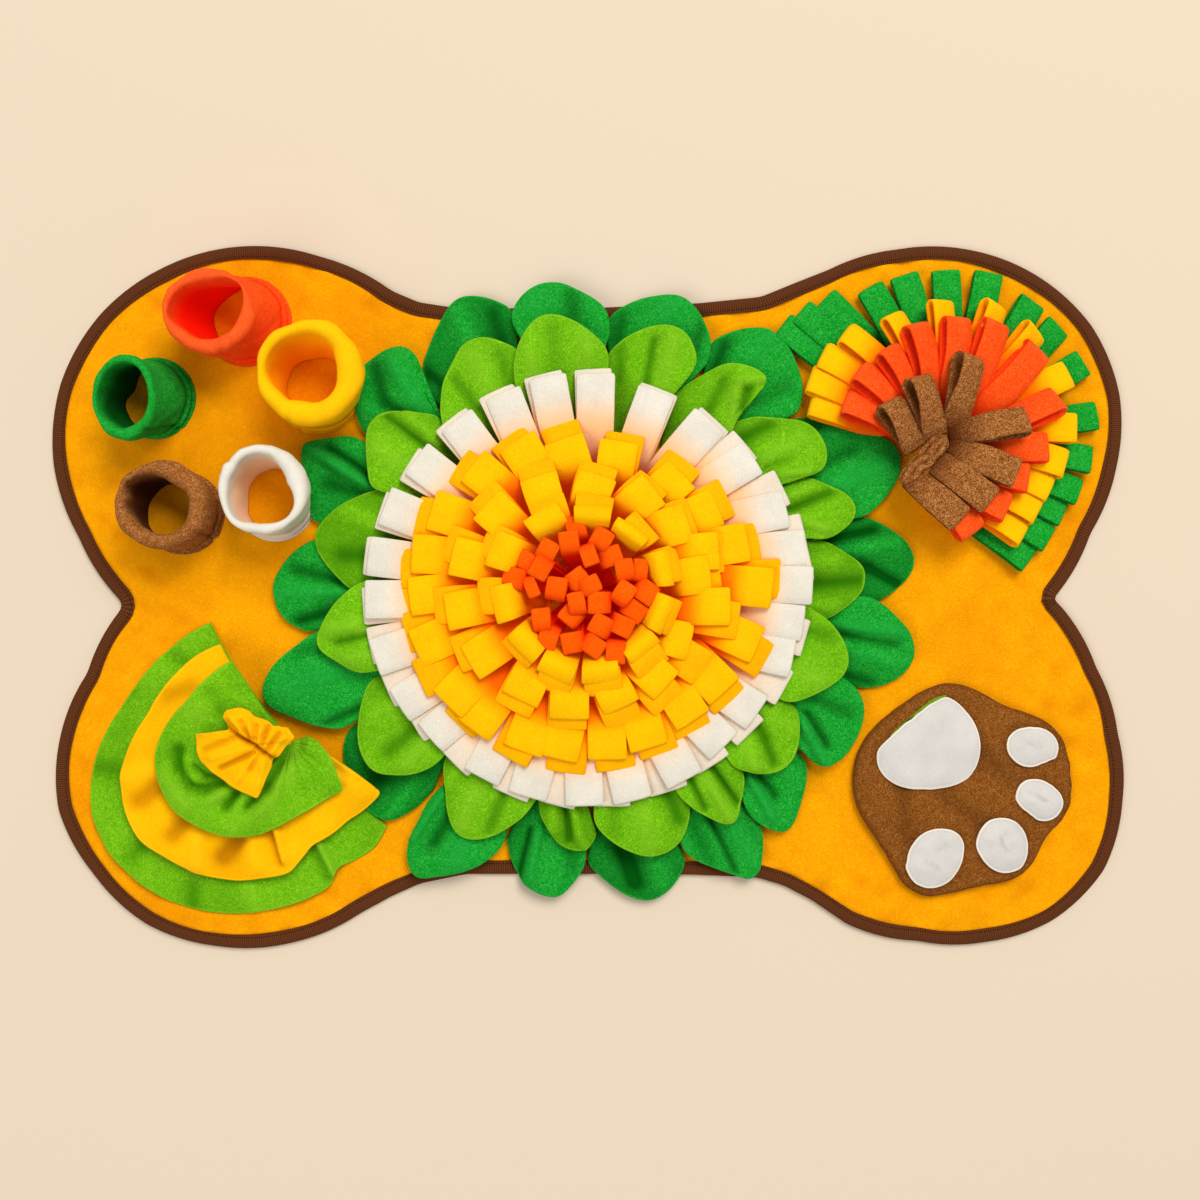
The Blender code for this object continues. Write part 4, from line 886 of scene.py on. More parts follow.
YELLOW_MIDDLE_LOOPS = (
    (-6, 115, -12, 124, 0), (8, 99, 10, 107, 2), (18, 110, 15, 114, 0), (35, 97, 36, 103, 0),
    (58, 97, 59, 103, 0), (85.5, 93, 85, 102, 0), (114.5, 100, 113, 111, 0), (139.8, 107, 138, 117, 0),
    (165.6, 113, 160.8, 121, 0), (189, 116, 186, 125, 0), (213, 112, 206.5, 119, 0),
    (238, 104, 237, 115, 0), (261.6, 105, 261, 114, 0), (286, 99, 286, 112, 0), (310, 100, 305.5, 113, 0),
    (333, 93, 326, 113, 0),
)
YELLOW_INNER_LOOPS = (
    (-19, 68, -19, 74, 0), (15.4, 69, 17, 77, 0), (54, 62, 49, 71, 2), (86.6, 67, 86.6, 76, 2),
    (121.5, 74, 115, 81, 1), (156.8, 85, 152.8, 93, 0), (189.7, 77, 184, 89, 0), (222.4, 74, 221, 80, 0),
    (249, 76, 250, 87, 0), (278.6, 75, 279, 86, 0), (313, 69, 310, 84, 0),
)
# Ring: its rows, root radius, root width, full width, crest height, tip height, the height from
# the lower loop up to the upper one, and 1 where its strips splay out before they bend over.
RINGS = {
    "white_ring": (WHITE_LOOPS, 104.0, 24.0, 31.5, 41.5, 38.2, 4.6, 0),
    "yellow_outer_ring": (YELLOW_OUTER_LOOPS, 82.0, 23.0, 32.5, 50.5, 47.0, 5.4, 0),
    "yellow_middle_ring": (YELLOW_MIDDLE_LOOPS, 60.0, 21.0, 31.5, 59.0, 56.0, 5.4, 0),
    "yellow_inner_ring": (YELLOW_INNER_LOOPS, 38.0, 18.0, 30.5, 64.5, 62.2, 5.4, 1),
}
print("pairs of loops in the rings:", [len(ring[0]) for ring in RINGS.values()])


# %% Loops of a ring
def ring_paths(label, lower, seed):
    """Middle lines, sides, widths and gaps of a ring's upper or lower loops.

    In the plane of radius and height a line is a Bezier curve from the root, steeply up, over the
    crest and down to the tip, and the angle turns evenly from the root's to the tip's.
    """
    rows, root, root_width, full_width, crest, tip_height, layer, splay = RINGS[label]
    rng = np.random.default_rng(seed + 100 * lower)
    rows = np.array(sorted(rows), float)
    count = len(rows)
    roots = np.mean(rows[:, 0] - 360 * np.arange(count) / count) + 360 * np.arange(count) / count
    share = np.linspace(0, 1, LEG)
    angle, reach = rows[:, 2 * lower], rows[:, 2 * lower + 1] - 2.6
    drop, start = lower * layer, root + 3.0 * lower
    flat = np.zeros((count, 4, 3))
    rise, over = start + 3 + 0 * reach, start + (reach - start) * 0.42
    if splay:
        rise, over = 0.35 * reach + 30, 0.35 * reach + 32
    flat[:, :, 0] = np.stack([0 * reach + start, rise, over, reach], axis=1)
    flat[:, :, 2] = np.stack([
        0 * reach + 6, 0 * reach + 0.86 * crest, (1.1 + 0.06 * splay) * crest - drop + 0 * reach,
        tip_height - drop + rows[:, 4] + rng.normal(0, 0.5, count)], axis=1)
    curve = bezier(flat, share)
    stray = rng.normal(0, 0.5, count)[:, None] * share ** 2
    turn = roots[:, None] + (angle - roots)[:, None] * share ** 0.8 + stray
    line = raised(heading(turn) * curve[..., :1] + FLOWER, curve[..., 2])
    slew = turn + 90 + rng.normal(0, 2.2, count)[:, None] * share
    tilt = rng.normal(0, 0.05, count)[:, None] * share
    side = raised(heading(slew), tilt)
    width = (root_width + (full_width - root_width) * share ** 0.35) * rng.uniform(0.97, 1.03, count)[:, None]
    gap = (1.35 + 0.25 * share ** 4) * rng.uniform(0.9, 1.2, count)[:, None]
    return line, side, width, gap


RING_BAND = 9.0  # mm, the width of the band that shows under them


def make_ring(name, rings, node, material, seed, glow, side_shade=0.4):
    """The loops of one or two rings with their backings, as one sheet cut into strips."""
    parts, area, count = [], 0.0, 0
    for label in rings:
        for lower in (0, 1):
            paths = ring_paths(label, lower, seed)
            # Lower loops get a deeper tone: painted shade under the upper loops.
            parts.append(folded_loops(*paths, seed + lower, glow, 0.18 * lower, side_shade))
            area += cloth_used(paths[0], paths[2])
            count += len(paths[0])
        parts.append(backing_ring(FLOWER, RINGS[label][1], RING_BAND))
    put_fringe(name, parts, material, [node], count, area)


# %% The four rings
make_ring("white_fringe", ["white_ring"], "strips_white", WHITE, 5, (12.0, 42.0), 0.1)
make_ring("yellow_outer_fringe", ["yellow_outer_ring"], "strips_yellow_outer",
          YELLOW, 6, (16.0, 38.0))
make_ring("yellow_inner_fringe", ["yellow_middle_ring", "yellow_inner_ring"], "strips_yellow_inner",
          YELLOW, 7, (15.0, 36.0))

# %% [markdown]
# ## The heart
# The middle is a tuft of narrower strips in flame orange, folded the same way. They stand on a
# small round pad and splay out. From above each shows a little square, turned its own way, so each
# has a row of its own for where it lies and how it is turned.

# %% Heart table and loops
# Where each fold lies (x, y from the flower's middle), the way it points, its height, its width.
HEART_LOOPS = (
    (-10, 51, 105, 60, 17), (-15, 39, 98, 63, 17), (-32, 32, 62, 63, 17), (-51, 24, 148, 61, 17),
    (-38, 17, 240, 64, 17), (-60, 10, 165, 62, 18), (-25, 2, 80, 62, 18), (-45, 2, 292, 62, 11),
    (-8, 9, 35, 60, 17), (2, 4, 25, 64, 15), (11, 41, 60, 60, 18), (1, 27, 290, 64, 14),
    (19, 27, 20, 57, 17), (29, 17, 100, 63, 16), (42, 17, 85, 60, 13), (29, -2, 55, 64, 17),
    (47, -2, -35, 60, 19), (-9, -10, 100, 64, 15), (8, -10, 180, 62, 19), (-14, -20, 140, 59, 17),
    (-37, -23, 95, 63, 16), (10, -28, 150, 63, 18), (28, -29, -25, 61, 17), (38, -17, -35, 59, 17),
    (-32, -39, 250, 61, 17), (-13, -42, 190, 63, 18), (5, -45, -35, 63, 17), (22, -51, -92, 62, 17),
)


HEART_LIFT = 2.2  # mm that the folds stand above the table's heights


def make_heart():
    """Loops that stand up from the pad, bend over in a small arc and lie flat for 13 mm.

    Each middle line is a bent line of five corners, rounded by taking means with its neighbours.
    """
    rows = np.array(HEART_LOOPS, float)
    rng = np.random.default_rng(9)
    lines = []
    for x, y, angle, top, _ in rows + (0, 0, 0, HEART_LIFT, 0):
        spot, out, sink = np.array([x, y]), heading(angle), rng.uniform(0.5, 3.5)
        reach = spot - out * 8.0
        root = reach * 0.36
        corners = [
            (*root, 6), (*(root * 0.5 + reach * 0.5), top * 0.45), (*reach, top - 9), (*reach, top),
            (*(spot + out * 5.4), top - sink)]
        lines.append(soft_line(np.array(corners), 60, 20)[np.linspace(0, 59, LEG).astype(int)])
    middle = np.array(lines)
    middle[..., :2] += FLOWER
    tilt = rng.normal(0, 0.09, (len(rows), 1))
    side = np.repeat(np.column_stack([heading(rows[:, 2] + 90), tilt])[:, None], LEG, axis=1)
    width = 0.94 * rows[:, 4:5] * np.linspace(0.7, 1, LEG) ** 0.5
    gap = np.linspace(1.2, 1.9, LEG) * rng.uniform(0.85, 1.3, (len(rows), 1))
    parts = [folded_loops(middle, side, width, gap, 8, (7.0, 24.0)), backing_ring(FLOWER, 14, 22)]
    put_fringe("heart_tuft", parts, FLAME, ["strips_heart"], len(rows),
               cloth_used(middle, width))


make_heart()

# %% [markdown]
# ## The fan of loops
# At the upper right, four fringes are gathered at one point and spread out: green, yellow, coral
# and brown on top. These loops aren't pressed flat. Each opens like a drop towards its fold, so
# the same function makes them with a wider gap, and a roll that shows their hollow ends.

# %% Loop fan tables
LOOP_FAN = np.array([291.7, 128.1])
# Layer: root radius, root width, tip width, height, half the gap at the fold, and its loops as
# angle, reach and roll (degrees, + where the counter-clockwise side is up).
LOOP_LAYERS = {
    "green": (60.0, 11.0, 24.0, 9.0, 2.2, (
        (-52, 125, -12), (-41, 124, -12), (-29, 122, -14), (-19, 127, -16), (-6, 131, -14), (10, 137, -8),
        (29, 141, 0), (44, 143, 16), (56, 144, 16), (73, 150, 4), (87, 146, 4), (101, 144, 4),
        (113, 143, 4), (127.5, 154, 5), (135.8, 159, 6), (142.5, 163, 6))),
    "yellow": (44.0, 9.0, 24.5, 20.5, 4.6, (
        (-49, 105, -22), (-36, 101, -12), (-23, 101, -10), (-10, 106, -8), (6, 114, -4), (28, 121, -6),
        (50, 123, 34), (68.5, 124, 38), (90, 119, 34), (111, 114, 38), (131, 121, 28), (143.5, 123, 12),
        (154, 121, 12), (163, 113, 10))),
    "coral": (29.0, 8.0, 25.0, 31.0, 5.4, (
        (-74, 81, -10), (-49, 78, -12), (-25, 78, -10), (-4, 88, -10), (19, 102, -34), (44, 109, 16),
        (66, 108, 26), (84, 103, 24), (104, 99, 34), (122, 90, 34), (141, 91, 30), (159, 88, 26))),
}
# The brown strips, from the fan's point: root (x, y), fold (x, y), root width, roll, half the gap.
BROWN_LOOPS = (
    (-24, -7, -49, 31, 20, 30, 6.0), (-7, 3, -26, 51, 20, 34, 6.4), (7, 9, 18, 69, 20, 34, 7.0),
    (3, 5, 67, 15, 12, -24, 4.6), (3, -5, 57, -29, 11, -4, 2.4), (-11, -15, 36, -51, 20, 3, 2.0),
    (-28, -31, 12, -66, 18, 3, 2.0),
)
BROWN_STRIP = 24.5  # mm, the width that the brown strips are cut to
BAND_END = -34  # degrees; the bands stop here, where the roots leave the circle for the sewn line
print("loops in the layers:", [len(layer[-1]) for layer in LOOP_LAYERS.values()], len(BROWN_LOOPS))


def slide(angle):
    """How far the roots on the lower right are shifted along the sewn line, as a vector."""
    return np.array([-17.0, -18.0]) * ease((-5 - np.asarray(angle)) / 55)[..., None]


def fan_lines(root, level, open_gap, rows, seed):
    """Middle lines and sides of a layer: Bezier curves from the gathered root out to the fold."""
    rng = np.random.default_rng(seed)
    count, share = len(rows), np.linspace(0, 1, LEG)
    angle, reach = rows[:, 0], rows[:, 1] - open_gap - STRIP_THICKNESS / 2
    roots = np.linspace(angle[0], angle[-1], count)
    flat = np.zeros((count, 4, 3))
    start = np.full(count, root)
    flat[:, :, 0] = np.stack([start, start + 2, root + (reach - root) * 0.45, reach], axis=1)
    flat[:, :, 2] = np.array([5.5, 0.9 * level, 1.06 * level, level])
    flat[:, 3, 2] += rng.normal(0, 0.5, count)
    curve = bezier(flat, share)
    turn = roots[:, None] + (angle - roots)[:, None] * share ** 0.8
    line = raised(heading(turn) * curve[..., :1] + LOOP_FAN, curve[..., 2])
    line[..., :2] += slide(roots)[:, None] * (1 - share)[:, None]
    return line, heading(turn + 90), roots


def roll_and_open(beside, rolls, gaps, share, seed):
    """The strips' sides turned by their roll, and the gap opening like a drop towards the fold."""
    rng = np.random.default_rng(seed)
    roll = np.radians(rolls)[:, None] * ease(share * 1.2)
    side = raised(beside * np.cos(roll)[..., None], np.sin(roll))
    gap = 1.3 + (gaps[:, None] - 1.3) * ease((share - 0.2) / 0.8)
    return side, gap * rng.uniform(0.85, 1.15, len(rolls))[:, None]


def make_loop_layer(colour, material, seed, glow):
    """One fringe of the fan with its curved band."""
    root, root_width, tip_width, level, open_gap, rows = LOOP_LAYERS[colour]
    rows, share = np.array(rows, float), np.linspace(0, 1, LEG)
    line, beside, roots = fan_lines(root, level, open_gap, rows, seed)
    side, gap = roll_and_open(beside, rows[:, 2], np.full(len(rows), open_gap), share, seed)
    spread = np.minimum(share * 1.8, 1) ** 0.7
    width = (root_width + (tip_width - root_width) * spread) * np.ones((len(rows), 1))
    first = max(roots[0], BAND_END)
    band = backing_ring(LOOP_FAN, root, 7.0, first, roots[-1] - first)
    parts = [folded_loops(line, side, width, gap, seed, glow), band]
    put_fringe(f"{colour}_loop_fan", parts, material, [f"loops_{colour}"], len(rows),
               cloth_used(line, width))


# %% [markdown]
# ## The gathered middle
# On top, the fringes are drawn together on one seam, and the cloth heaps up over it. Gathers could
# be simulated, but a spindle with ridges that wander along it shows the same.

# %% The heap and the brown loops
GATHER = ((-35, -36), (-25, -26), (-13, -13), (1, 3))  # the sewn line, from the fan's point
HEAP_ROWS, HEAP_SIDES = 48, 40
HEAP_HALF_WIDTH, HEAP_HALF_HEIGHT, HEAP_LEVEL = 8.0, 6.0, 37.0


def gathered_heap():
    """The cloth heaped over the sewn line: a spindle with six ridges that wander along it.

    Point = spine + (across * cos a * half width, sin a * half height) * girth(s) * (1 + ridges).
    """
    spine = soft_line(GATHER, HEAP_ROWS, 4) + LOOP_FAN
    s = np.linspace(0, 1, HEAP_ROWS)[:, None]
    turn = np.linspace(0, 2 * np.pi, HEAP_SIDES, endpoint=False)[None, :]
    wander = 0.5 * np.sin(7 * s) + 0.2 * np.sin(19 * s + 1)
    ridges = 0.11 * np.cos(6 * turn + 3 * wander) + 0.05 * np.sin(4 * turn + 23 * s)
    lumps = 0.2 * bump_at(s, 0.8, 0.22) * np.sin(3 * turn + 40 * s) * np.cos(55 * s)
    girth = np.sqrt(np.clip(1 - (2 * s - 1) ** 4, 0.02, 1)) * (1 + ridges + lumps)
    across = np.array([-0.72, 0.69])
    x = spine[:, :1] + across[0] * np.cos(turn) * HEAP_HALF_WIDTH * girth
    y = spine[:, 1:] + across[1] * np.cos(turn) * HEAP_HALF_WIDTH * girth
    z = HEAP_LEVEL + np.sin(turn) * HEAP_HALF_HEIGHT * girth
    first_row = np.arange(HEAP_SIDES)
    faces = rows_to_faces(HEAP_ROWS, HEAP_SIDES, wrap_columns=True).tolist()
    faces += [first_row.tolist(), (first_row + (HEAP_ROWS - 1) * HEAP_SIDES).tolist()]
    # Painted shade in the furrows between the ridges and lumps.
    tone = np.clip(-5.0 * ridges - 2 * lumps, 0, 0.8) * np.ones_like(x)
    return np.stack([x, y, z], axis=2).reshape(-1, 3), faces, tone.ravel()


def make_brown_layer(seed):
    """The brown strips leave the sewn line side by side, under the gathered heap.

    Each middle line is a Bezier curve over four points from root to fold, with heights of its own.
    """
    rows, share = np.array(BROWN_LOOPS, float), np.linspace(0, 1, LEG)
    root, tip = rows[:, :2] + LOOP_FAN, rows[:, 2:4] + LOOP_FAN
    out = unit(tip - root)
    tip = tip - out * (rows[:, 6:7] + STRIP_THICKNESS / 2)
    controls = np.zeros((len(rows), 4, 3))
    for k, (part, level) in enumerate(((0.0, 34.0), (0.2, 41.0), (0.6, 45.5), (1.0, 43.0))):
        controls[:, k, :2] = root * (1 - part) + tip * part
        controls[:, k, 2] = level
    controls[:, 1:, 2] += np.array([0, 0, 0, 0, 1.0, 0.2, -1.4])[:, None]
    line = bezier(controls, share)
    beside = np.repeat(np.stack([-out[:, 1], out[:, 0]], axis=1)[:, None], LEG, axis=1)
    side, gap = roll_and_open(beside, rows[:, 5], rows[:, 6], share, seed)
    width = rows[:, 4:5] + (BROWN_STRIP - rows[:, 4:5]) * np.minimum(share * 1.7, 1) ** 0.8
    parts = [folded_loops(line, side, width, gap, seed, (26.0, 62.0)), gathered_heap()]
    put_fringe("brown_loop_fan", parts, BROWN, ["loops_brown"], len(rows),
               cloth_used(line, width))


make_loop_layer("green", DARK_GREEN, 21, (30.0, 60.0))
make_loop_layer("yellow", YELLOW, 22, (10.0, 34.0))
make_loop_layer("coral", CORAL, 23, (40.0, 84.0))
make_brown_layer(24)

# %% [markdown]
# ## The ruffled fan and its bow
# Three half-round sheets are gathered at one point. The gathers run out as ruffles that die away
# towards the edge. Polar coordinates about the gather fit this: the edge is a table of angle and
# reach, and the height adds waves round the angle that grow towards the rim and stay in step, so
# that the sheets nest. They still cross a little in some deep folds.

# %% Fan tables
FAN = np.array([-248.0, -121.3])
FAN_HUB = 2.5  # mm, the radius of the gathered root
# Sheet: ruffle height, how far the near edge swings behind (degrees at the hub), rise against the
# distance from the gather, its edge as angle and reach, and its folds in mm.
FAN_SHEETS = {
    "fan_green_lower": (2.6, 7, ((9, 4.6), (60, 6), (180, 9)), (
        (125, 121), (140, 127), (154.5, 134), (168.8, 146), (180, 160), (188, 169), (194.7, 174),
        (201.6, 178), (211.2, 178), (221.6, 174), (232.6, 168), (243.5, 159), (251.5, 152), (261.7, 142),
        (273.4, 133), (284.5, 125), (290.5, 111), (298.8, 112), (307.8, 112), (317.7, 106)), (
        (-405, -93, -384, -78, 7, -2.2), (-410, -143, -390, -147, 8, -2.2),
        (-382, -217, -368, -202, 8, -2.4), (-332, -262, -331, -244, 7, -2),
        (-226, -204, -211, -232, 3.4, 3.6), (-232, -206, -217, -236, 5, -2.2),
        (-352, -43, -340, -54, 7, -1.8), (-280, -262, -284, -244, 7, 1.8))),
    "fan_yellow": (2.8, 7, ((9, 6.6), (18, 13), (36, 17.5), (150, 19.5)), (
        (125.4, 100), (136, 105), (149.6, 110), (168.8, 120), (182.8, 135), (190.4, 142), (201.2, 147),
        (212.7, 147), (224.2, 138), (236.3, 131), (248.2, 123), (258.6, 114), (270.4, 107), (275, 98),
        (282.7, 86), (306.9, 80), (325, 84.5), (331.7, 86.5), (334.5, 70), (338.5, 50), (343, 35)), (
        (-374, -170, -354, -157, 8, -3.4), (-385, -148, -362, -144, 7, 2),
        (-360, -154, -368, -170, 7, -2.4), (-344, -198, -333, -184, 8, -3.6),
        (-324, -200, -324, -224, 6, 3), (-303, -216, -288, -200, 8, -4.2),
        (-280, -200, -276, -224, 7, 2.6), (-259, -192, -251, -218, 2.4, 4.4),
        (-263, -194, -255, -220, 4.5, -3.4), (-348, -82, -330, -76, 9, -2.6),
        (-240, -160, -200, -150, 14, 1.6))),
    "fan_green_upper": (2.6, 0, ((9, 9), (17, 21.5), (34, 28.5), (110, 30.5)), (
        (123.8, 82), (139.6, 84), (156.1, 88), (173.9, 102), (185.1, 109), (196.1, 109), (210.1, 106),
        (222.3, 99), (238.3, 89), (253.6, 77), (262, 69), (272, 62), (283, 57.5), (295, 55.5), (303, 55),
        (311, 56), (317, 58), (320.7, 59.5), (324.7, 54), (329.5, 48), (335.6, 43), (343, 38.5), (354, 30),
        (366, 23), (380, 15)), (
        (-337, -126, -337, -142, 5, -4.4), (-337, -142, -328, -155, 5, -5),
        (-328, -155, -314, -158, 5, -5), (-314, -158, -300, -153, 4.6, -4.4),
        (-324, -139, -314, -147, 3.6, -4), (-314, -147, -305, -146, 3.6, -3.2),
        (-330, -133, -320, -151, 3, 1.6), (-344, -146, -330, -168, 8, 2.6),
        (-286, -158, -298, -173, 3.8, -4), (-280, -162, -290, -182, 4.6, 2.6),
        (-299, -160, -310, -166, 4, 2.2), (-252, -138, -264, -158, 5, -4.6),
        (-264, -158, -280, -172, 6, -4.4), (-242, -120, -252, -150, 8, 3.6),
        (-252, -150, -268, -174, 8, 3.8), (-268, -174, -288, -190, 9, 3), (-309, -79, -300, -94, 8, -2.6),
        (-326, -100, -308, -84, 9, 1.4))),
}


# %% Fan sheets
def fan_sheet(label):
    """A half-round sheet: distance = hub + u (edge(angle) - hub), height = rise + waves + folds."""
    ruffle, swing, rise, edge, folds = FAN_SHEETS[label]
    edge = soft_line(edge, 141, 2)
    turn, smooth = edge[:, :1], edge[:, 1:]
    u = np.concatenate([np.linspace(0, 0.96, 31), [0.98, 0.992, 1.0]])[None, :]
    distance = FAN_HUB + u * (smooth - FAN_HUB)
    turn = turn + swing * (1 - u) * ease((turn[0] + 40 - turn) / 40)
    levels = np.interp(distance, *np.array(rise, float).T)
    waves = np.sin(np.radians(turn) * 5.5) * ruffle * u ** 2
    gathers = np.sin(np.radians(turn) * 17) + 0.6 * np.sin(np.radians(turn) * 29 + 1)
    gathers = gathers * 1.3 * u * (1 - u) ** 2 * 4
    plan = heading(turn) * distance[..., None] + FAN
    x, y = plan[..., 0], plan[..., 1]
    fold = 1.6 * relief(x, y, folds)
    slack = 1.1 * ripple(x, y, 36, 61) * ease(u * 3)
    from_rim = (1 - u) * (smooth - FAN_HUB)
    height = levels + waves + gathers + slack + fold - 1.4 * bump_at(from_rim, 0, 4.0)
    height = np.maximum(height, levels - 7.0 if rise[-1][1] > 10 else 4.8)
    # Painted light: painted shade in the troughs of the folds, ruffles and gathers, a painted highlight on
    # the ridges and along the cut rim.
    tone = 0.85 * np.clip(-fold / 5.0, -0.5, 1) + 0.22 * np.clip(-(waves + slack) / ruffle, -0.4, 1)
    tone = tone + 0.25 * np.clip(-gathers, 0, 1) - 0.8 * bump_at(from_rim, 0, 0.7)
    return raised(plan, height), tone


def make_fan_sheet(label, material):
    """One sheet of the fan, as a piece.
    """
    middle, tone = fan_sheet(label)
    piece = put_sheet(f"{label}_sheet", middle, tone, material, label)


make_fan_sheet("fan_green_lower", LIGHT_GREEN)
make_fan_sheet("fan_yellow", YELLOW_BROWN_SHADE)
make_fan_sheet("fan_green_upper", LIGHT_GREEN)

# %% [markdown]
# ## The bow
# A bow of yellow fleece is pinched over the gather: its upper part bunches up, its lower one
# spreads. Two sheets would do, but it is a little puffed, so it is one closed shape: its outline
# shrunk towards the middle, with the pinch and the creases pressed in along short lines.

# %% The bow's table and shape
BOW = np.array([-272.0, -121.0])
BOW_LEVEL = 37.0
BOW_COLUMNS = 150
# The bow's edge (x, y) and how full it stands there: the spread part below, the gathered one above.
BOW_EDGE = (
    (-320.5, -111.8, 0.4), (-306.2, -110.3, 0.3), (-292.5, -108.4, 0.2), (-297.2, -101.3, 0.7),
    (-297.9, -96.8, 1), (-294.9, -92.3, 1.2), (-284.4, -90, 1.2), (-275.3, -93, 1.1),
    (-272.3, -97.1, 0.8), (-260.3, -101.3, 0.9), (-256.1, -105.8, 0.5), (-252.8, -104.6, 0.8),
    (-249.5, -106.6, 0.6), (-245.3, -106.1, 0.9), (-238.5, -114.8, 0.9), (-241.5, -117.9, 0.6),
    (-246, -121.6, 0.7), (-251.3, -129.9, 0.8), (-255.8, -131.8, 0.5), (-258, -132.6, 0.3),
    (-258, -138.9, 0.4), (-263.3, -150.9, 0.5), (-266.3, -158.5, 0.4), (-269.3, -164.5, 0.3),
    (-281.4, -160, 0.5), (-293.4, -152.5, 0.4), (-306.9, -141.9, 0.5), (-316, -134.4, 0.4),
    (-318.7, -125.4, 0.5),
)
# The pinched line across the bow, then the creases of its two parts and the ridges between them.
BOW_FOLDS = (
    (-297, -103, -286, -112, 2.2, -4.6), (-286, -112, -277, -117.5, 2.2, -6),
    (-277, -117.5, -263, -127, 2.2, -6.5), (-263, -127, -255, -132.5, 2, -5),
    (-268, -128, -275, -141, 1.8, -3.6), (-272, -127, -299, -139.5, 2, -4.2),
    (-284.4, -113.3, -312, -124.5, 2.6, -3), (-293.4, -101.3, -285.1, -108.8, 1.8, -3.2),
    (-282, -101, -275, -114.8, 2, -3.8), (-269.3, -104.5, -270.8, -116, 1.8, -3),
    (-260.3, -105.5, -264.8, -120, 2, -3.6), (-251.3, -111, -260.3, -124, 2, -3.6),
    (-291, -96, -281, -105, 2.6, 2), (-274, -101, -272, -112, 2.4, 2.2),
    (-264, -105, -267, -118, 2.4, 2.2), (-255, -109, -262, -121, 2.4, 2.4),
    (-246, -113, -256, -126, 2.6, 2.4), (-275, -122, -306, -132, 3, 2),
    (-270, -130, -286, -150, 3, 2.2), (-262, -131, -268, -154, 2.6, 1.8),
)


def make_bow():
    """A puffed piece with the bow's outline, pinched along a line and creased towards it.

    Height = level + fullness(edge) * 5 (1 - (2s - 1)^2) for the share s from middle to edge, plus
    the creases.
    """
    rim = soft_line(BOW_EDGE, BOW_COLUMNS, 1, closed=True)
    s = np.linspace(0.05, 1, 30)[:, None]
    x, y = BOW[0] + (rim[:, 0] - BOW[0]) * s, BOW[1] + (rim[:, 1] - BOW[1]) * s
    fold = relief(x, y, BOW_FOLDS)
    puff = rim[:, 2] * 5.0 * (1 - (2 * s - 1) ** 2) + fold
    ruffle = 1.2 * np.sin(np.arange(BOW_COLUMNS) * 0.5) * s ** 3
    top = BOW_LEVEL + puff + 1.5 * ripple(x, y, 24, 71) * s + ruffle
    upper = np.stack([x, y, top + 1.6], axis=2)
    under = np.stack([x, y, np.maximum(np.minimum(top - 1.4, 36.0), top - 7)], axis=2)
    rim_row = (upper[-1:] + under[-1:]) / 2
    rings = np.concatenate([upper, rim_row, under[::-1]])
    points, faces = closed_dome(rings, [*BOW, upper[0, :, 2].mean()], [*BOW, under[0, :, 2].mean()])
    # Painted light: painted shade in the creases and at the pinched middle, a painted highlight on the ridges
    # and along the cut rim.
    tone = np.clip(-fold / 4.0, -0.3, 1) * 0.75 - 0.6 * bump_at(s, 1.0, 0.03)
    tones = np.concatenate([tone.ravel(), np.full(BOW_COLUMNS, -1.0), np.zeros(tone.size), [0.9, 0.5]])
    piece = put("fan_bow_cloth", points, faces, YELLOW_BROWN_SHADE, ["fan_bow"], tone=tones)
    print("bow:", len(faces), "faces, up to", points[:, 2].max().round(1), "mm")


make_bow()

# %% [markdown]
# ## The tubes
# Each tube is a band of fleece folded double with the fold at the top, rolled into a ring and
# sewn to the panel by its raw edges. So it has a soft rim, a wall that leans and sags, a seam up
# one side and a foot that spreads. A turned profile would make it too regular: here the outside
# goes from the round foot to a measured rim oval, rolls over to a second oval, the opening, and
# goes down the inside, with dents on both walls.

# %% Tube table
# Tube: cloth, slot, foot (x, y, radius), radius and dents of the floor inside, rim oval (x, y,
# radius along x, along y), height, the seam's angle, middle of the opening.
TUBES = {
    "coral": (CORAL, "coral_fleece", (-287.0, 231.5, 33.5), 27.0, ((135, 20, 1.5),),
              (-302.5, 228.4, 36.2, 33.9), 66.0, -75, (-304.5, 229.7)),
    "green": (DARK_GREEN, "dark_green_fleece", (-364.0, 167.0, 30.0), 27.0, ((155, 30, 9.0),),
              (-369.2, 159.4, 25.7, 33.6), 66.0, -50, (-370.3, 160.6)),
    "yellow": (YELLOW, "yellow_fleece", (-226.5, 176.0, 34.5), 26.0, ((100, 20, 2.0),),
               (-222.7, 179.9, 42.7, 42.4), 64.0, 246, (-229.1, 183.1)),
    "brown": (BROWN, "brown_fleece", (-340.5, 70.5, 30.5), 28.5, ((90, 26, 4.5), (200, 20, -1.5)),
              (-342.3, 73.8, 37.4, 35.1), 60.0, -40, (-346.4, 74.9)),
    "white": (WHITE, "white_fleece", (-262.5, 80.5, 29.5), 26.0, ((180, 26, 3.5), (90, 20, -1.0)),
              (-260.4, 86.3, 36.0, 35.7), 62.0, 140, (-261.5, 86.9)),
}
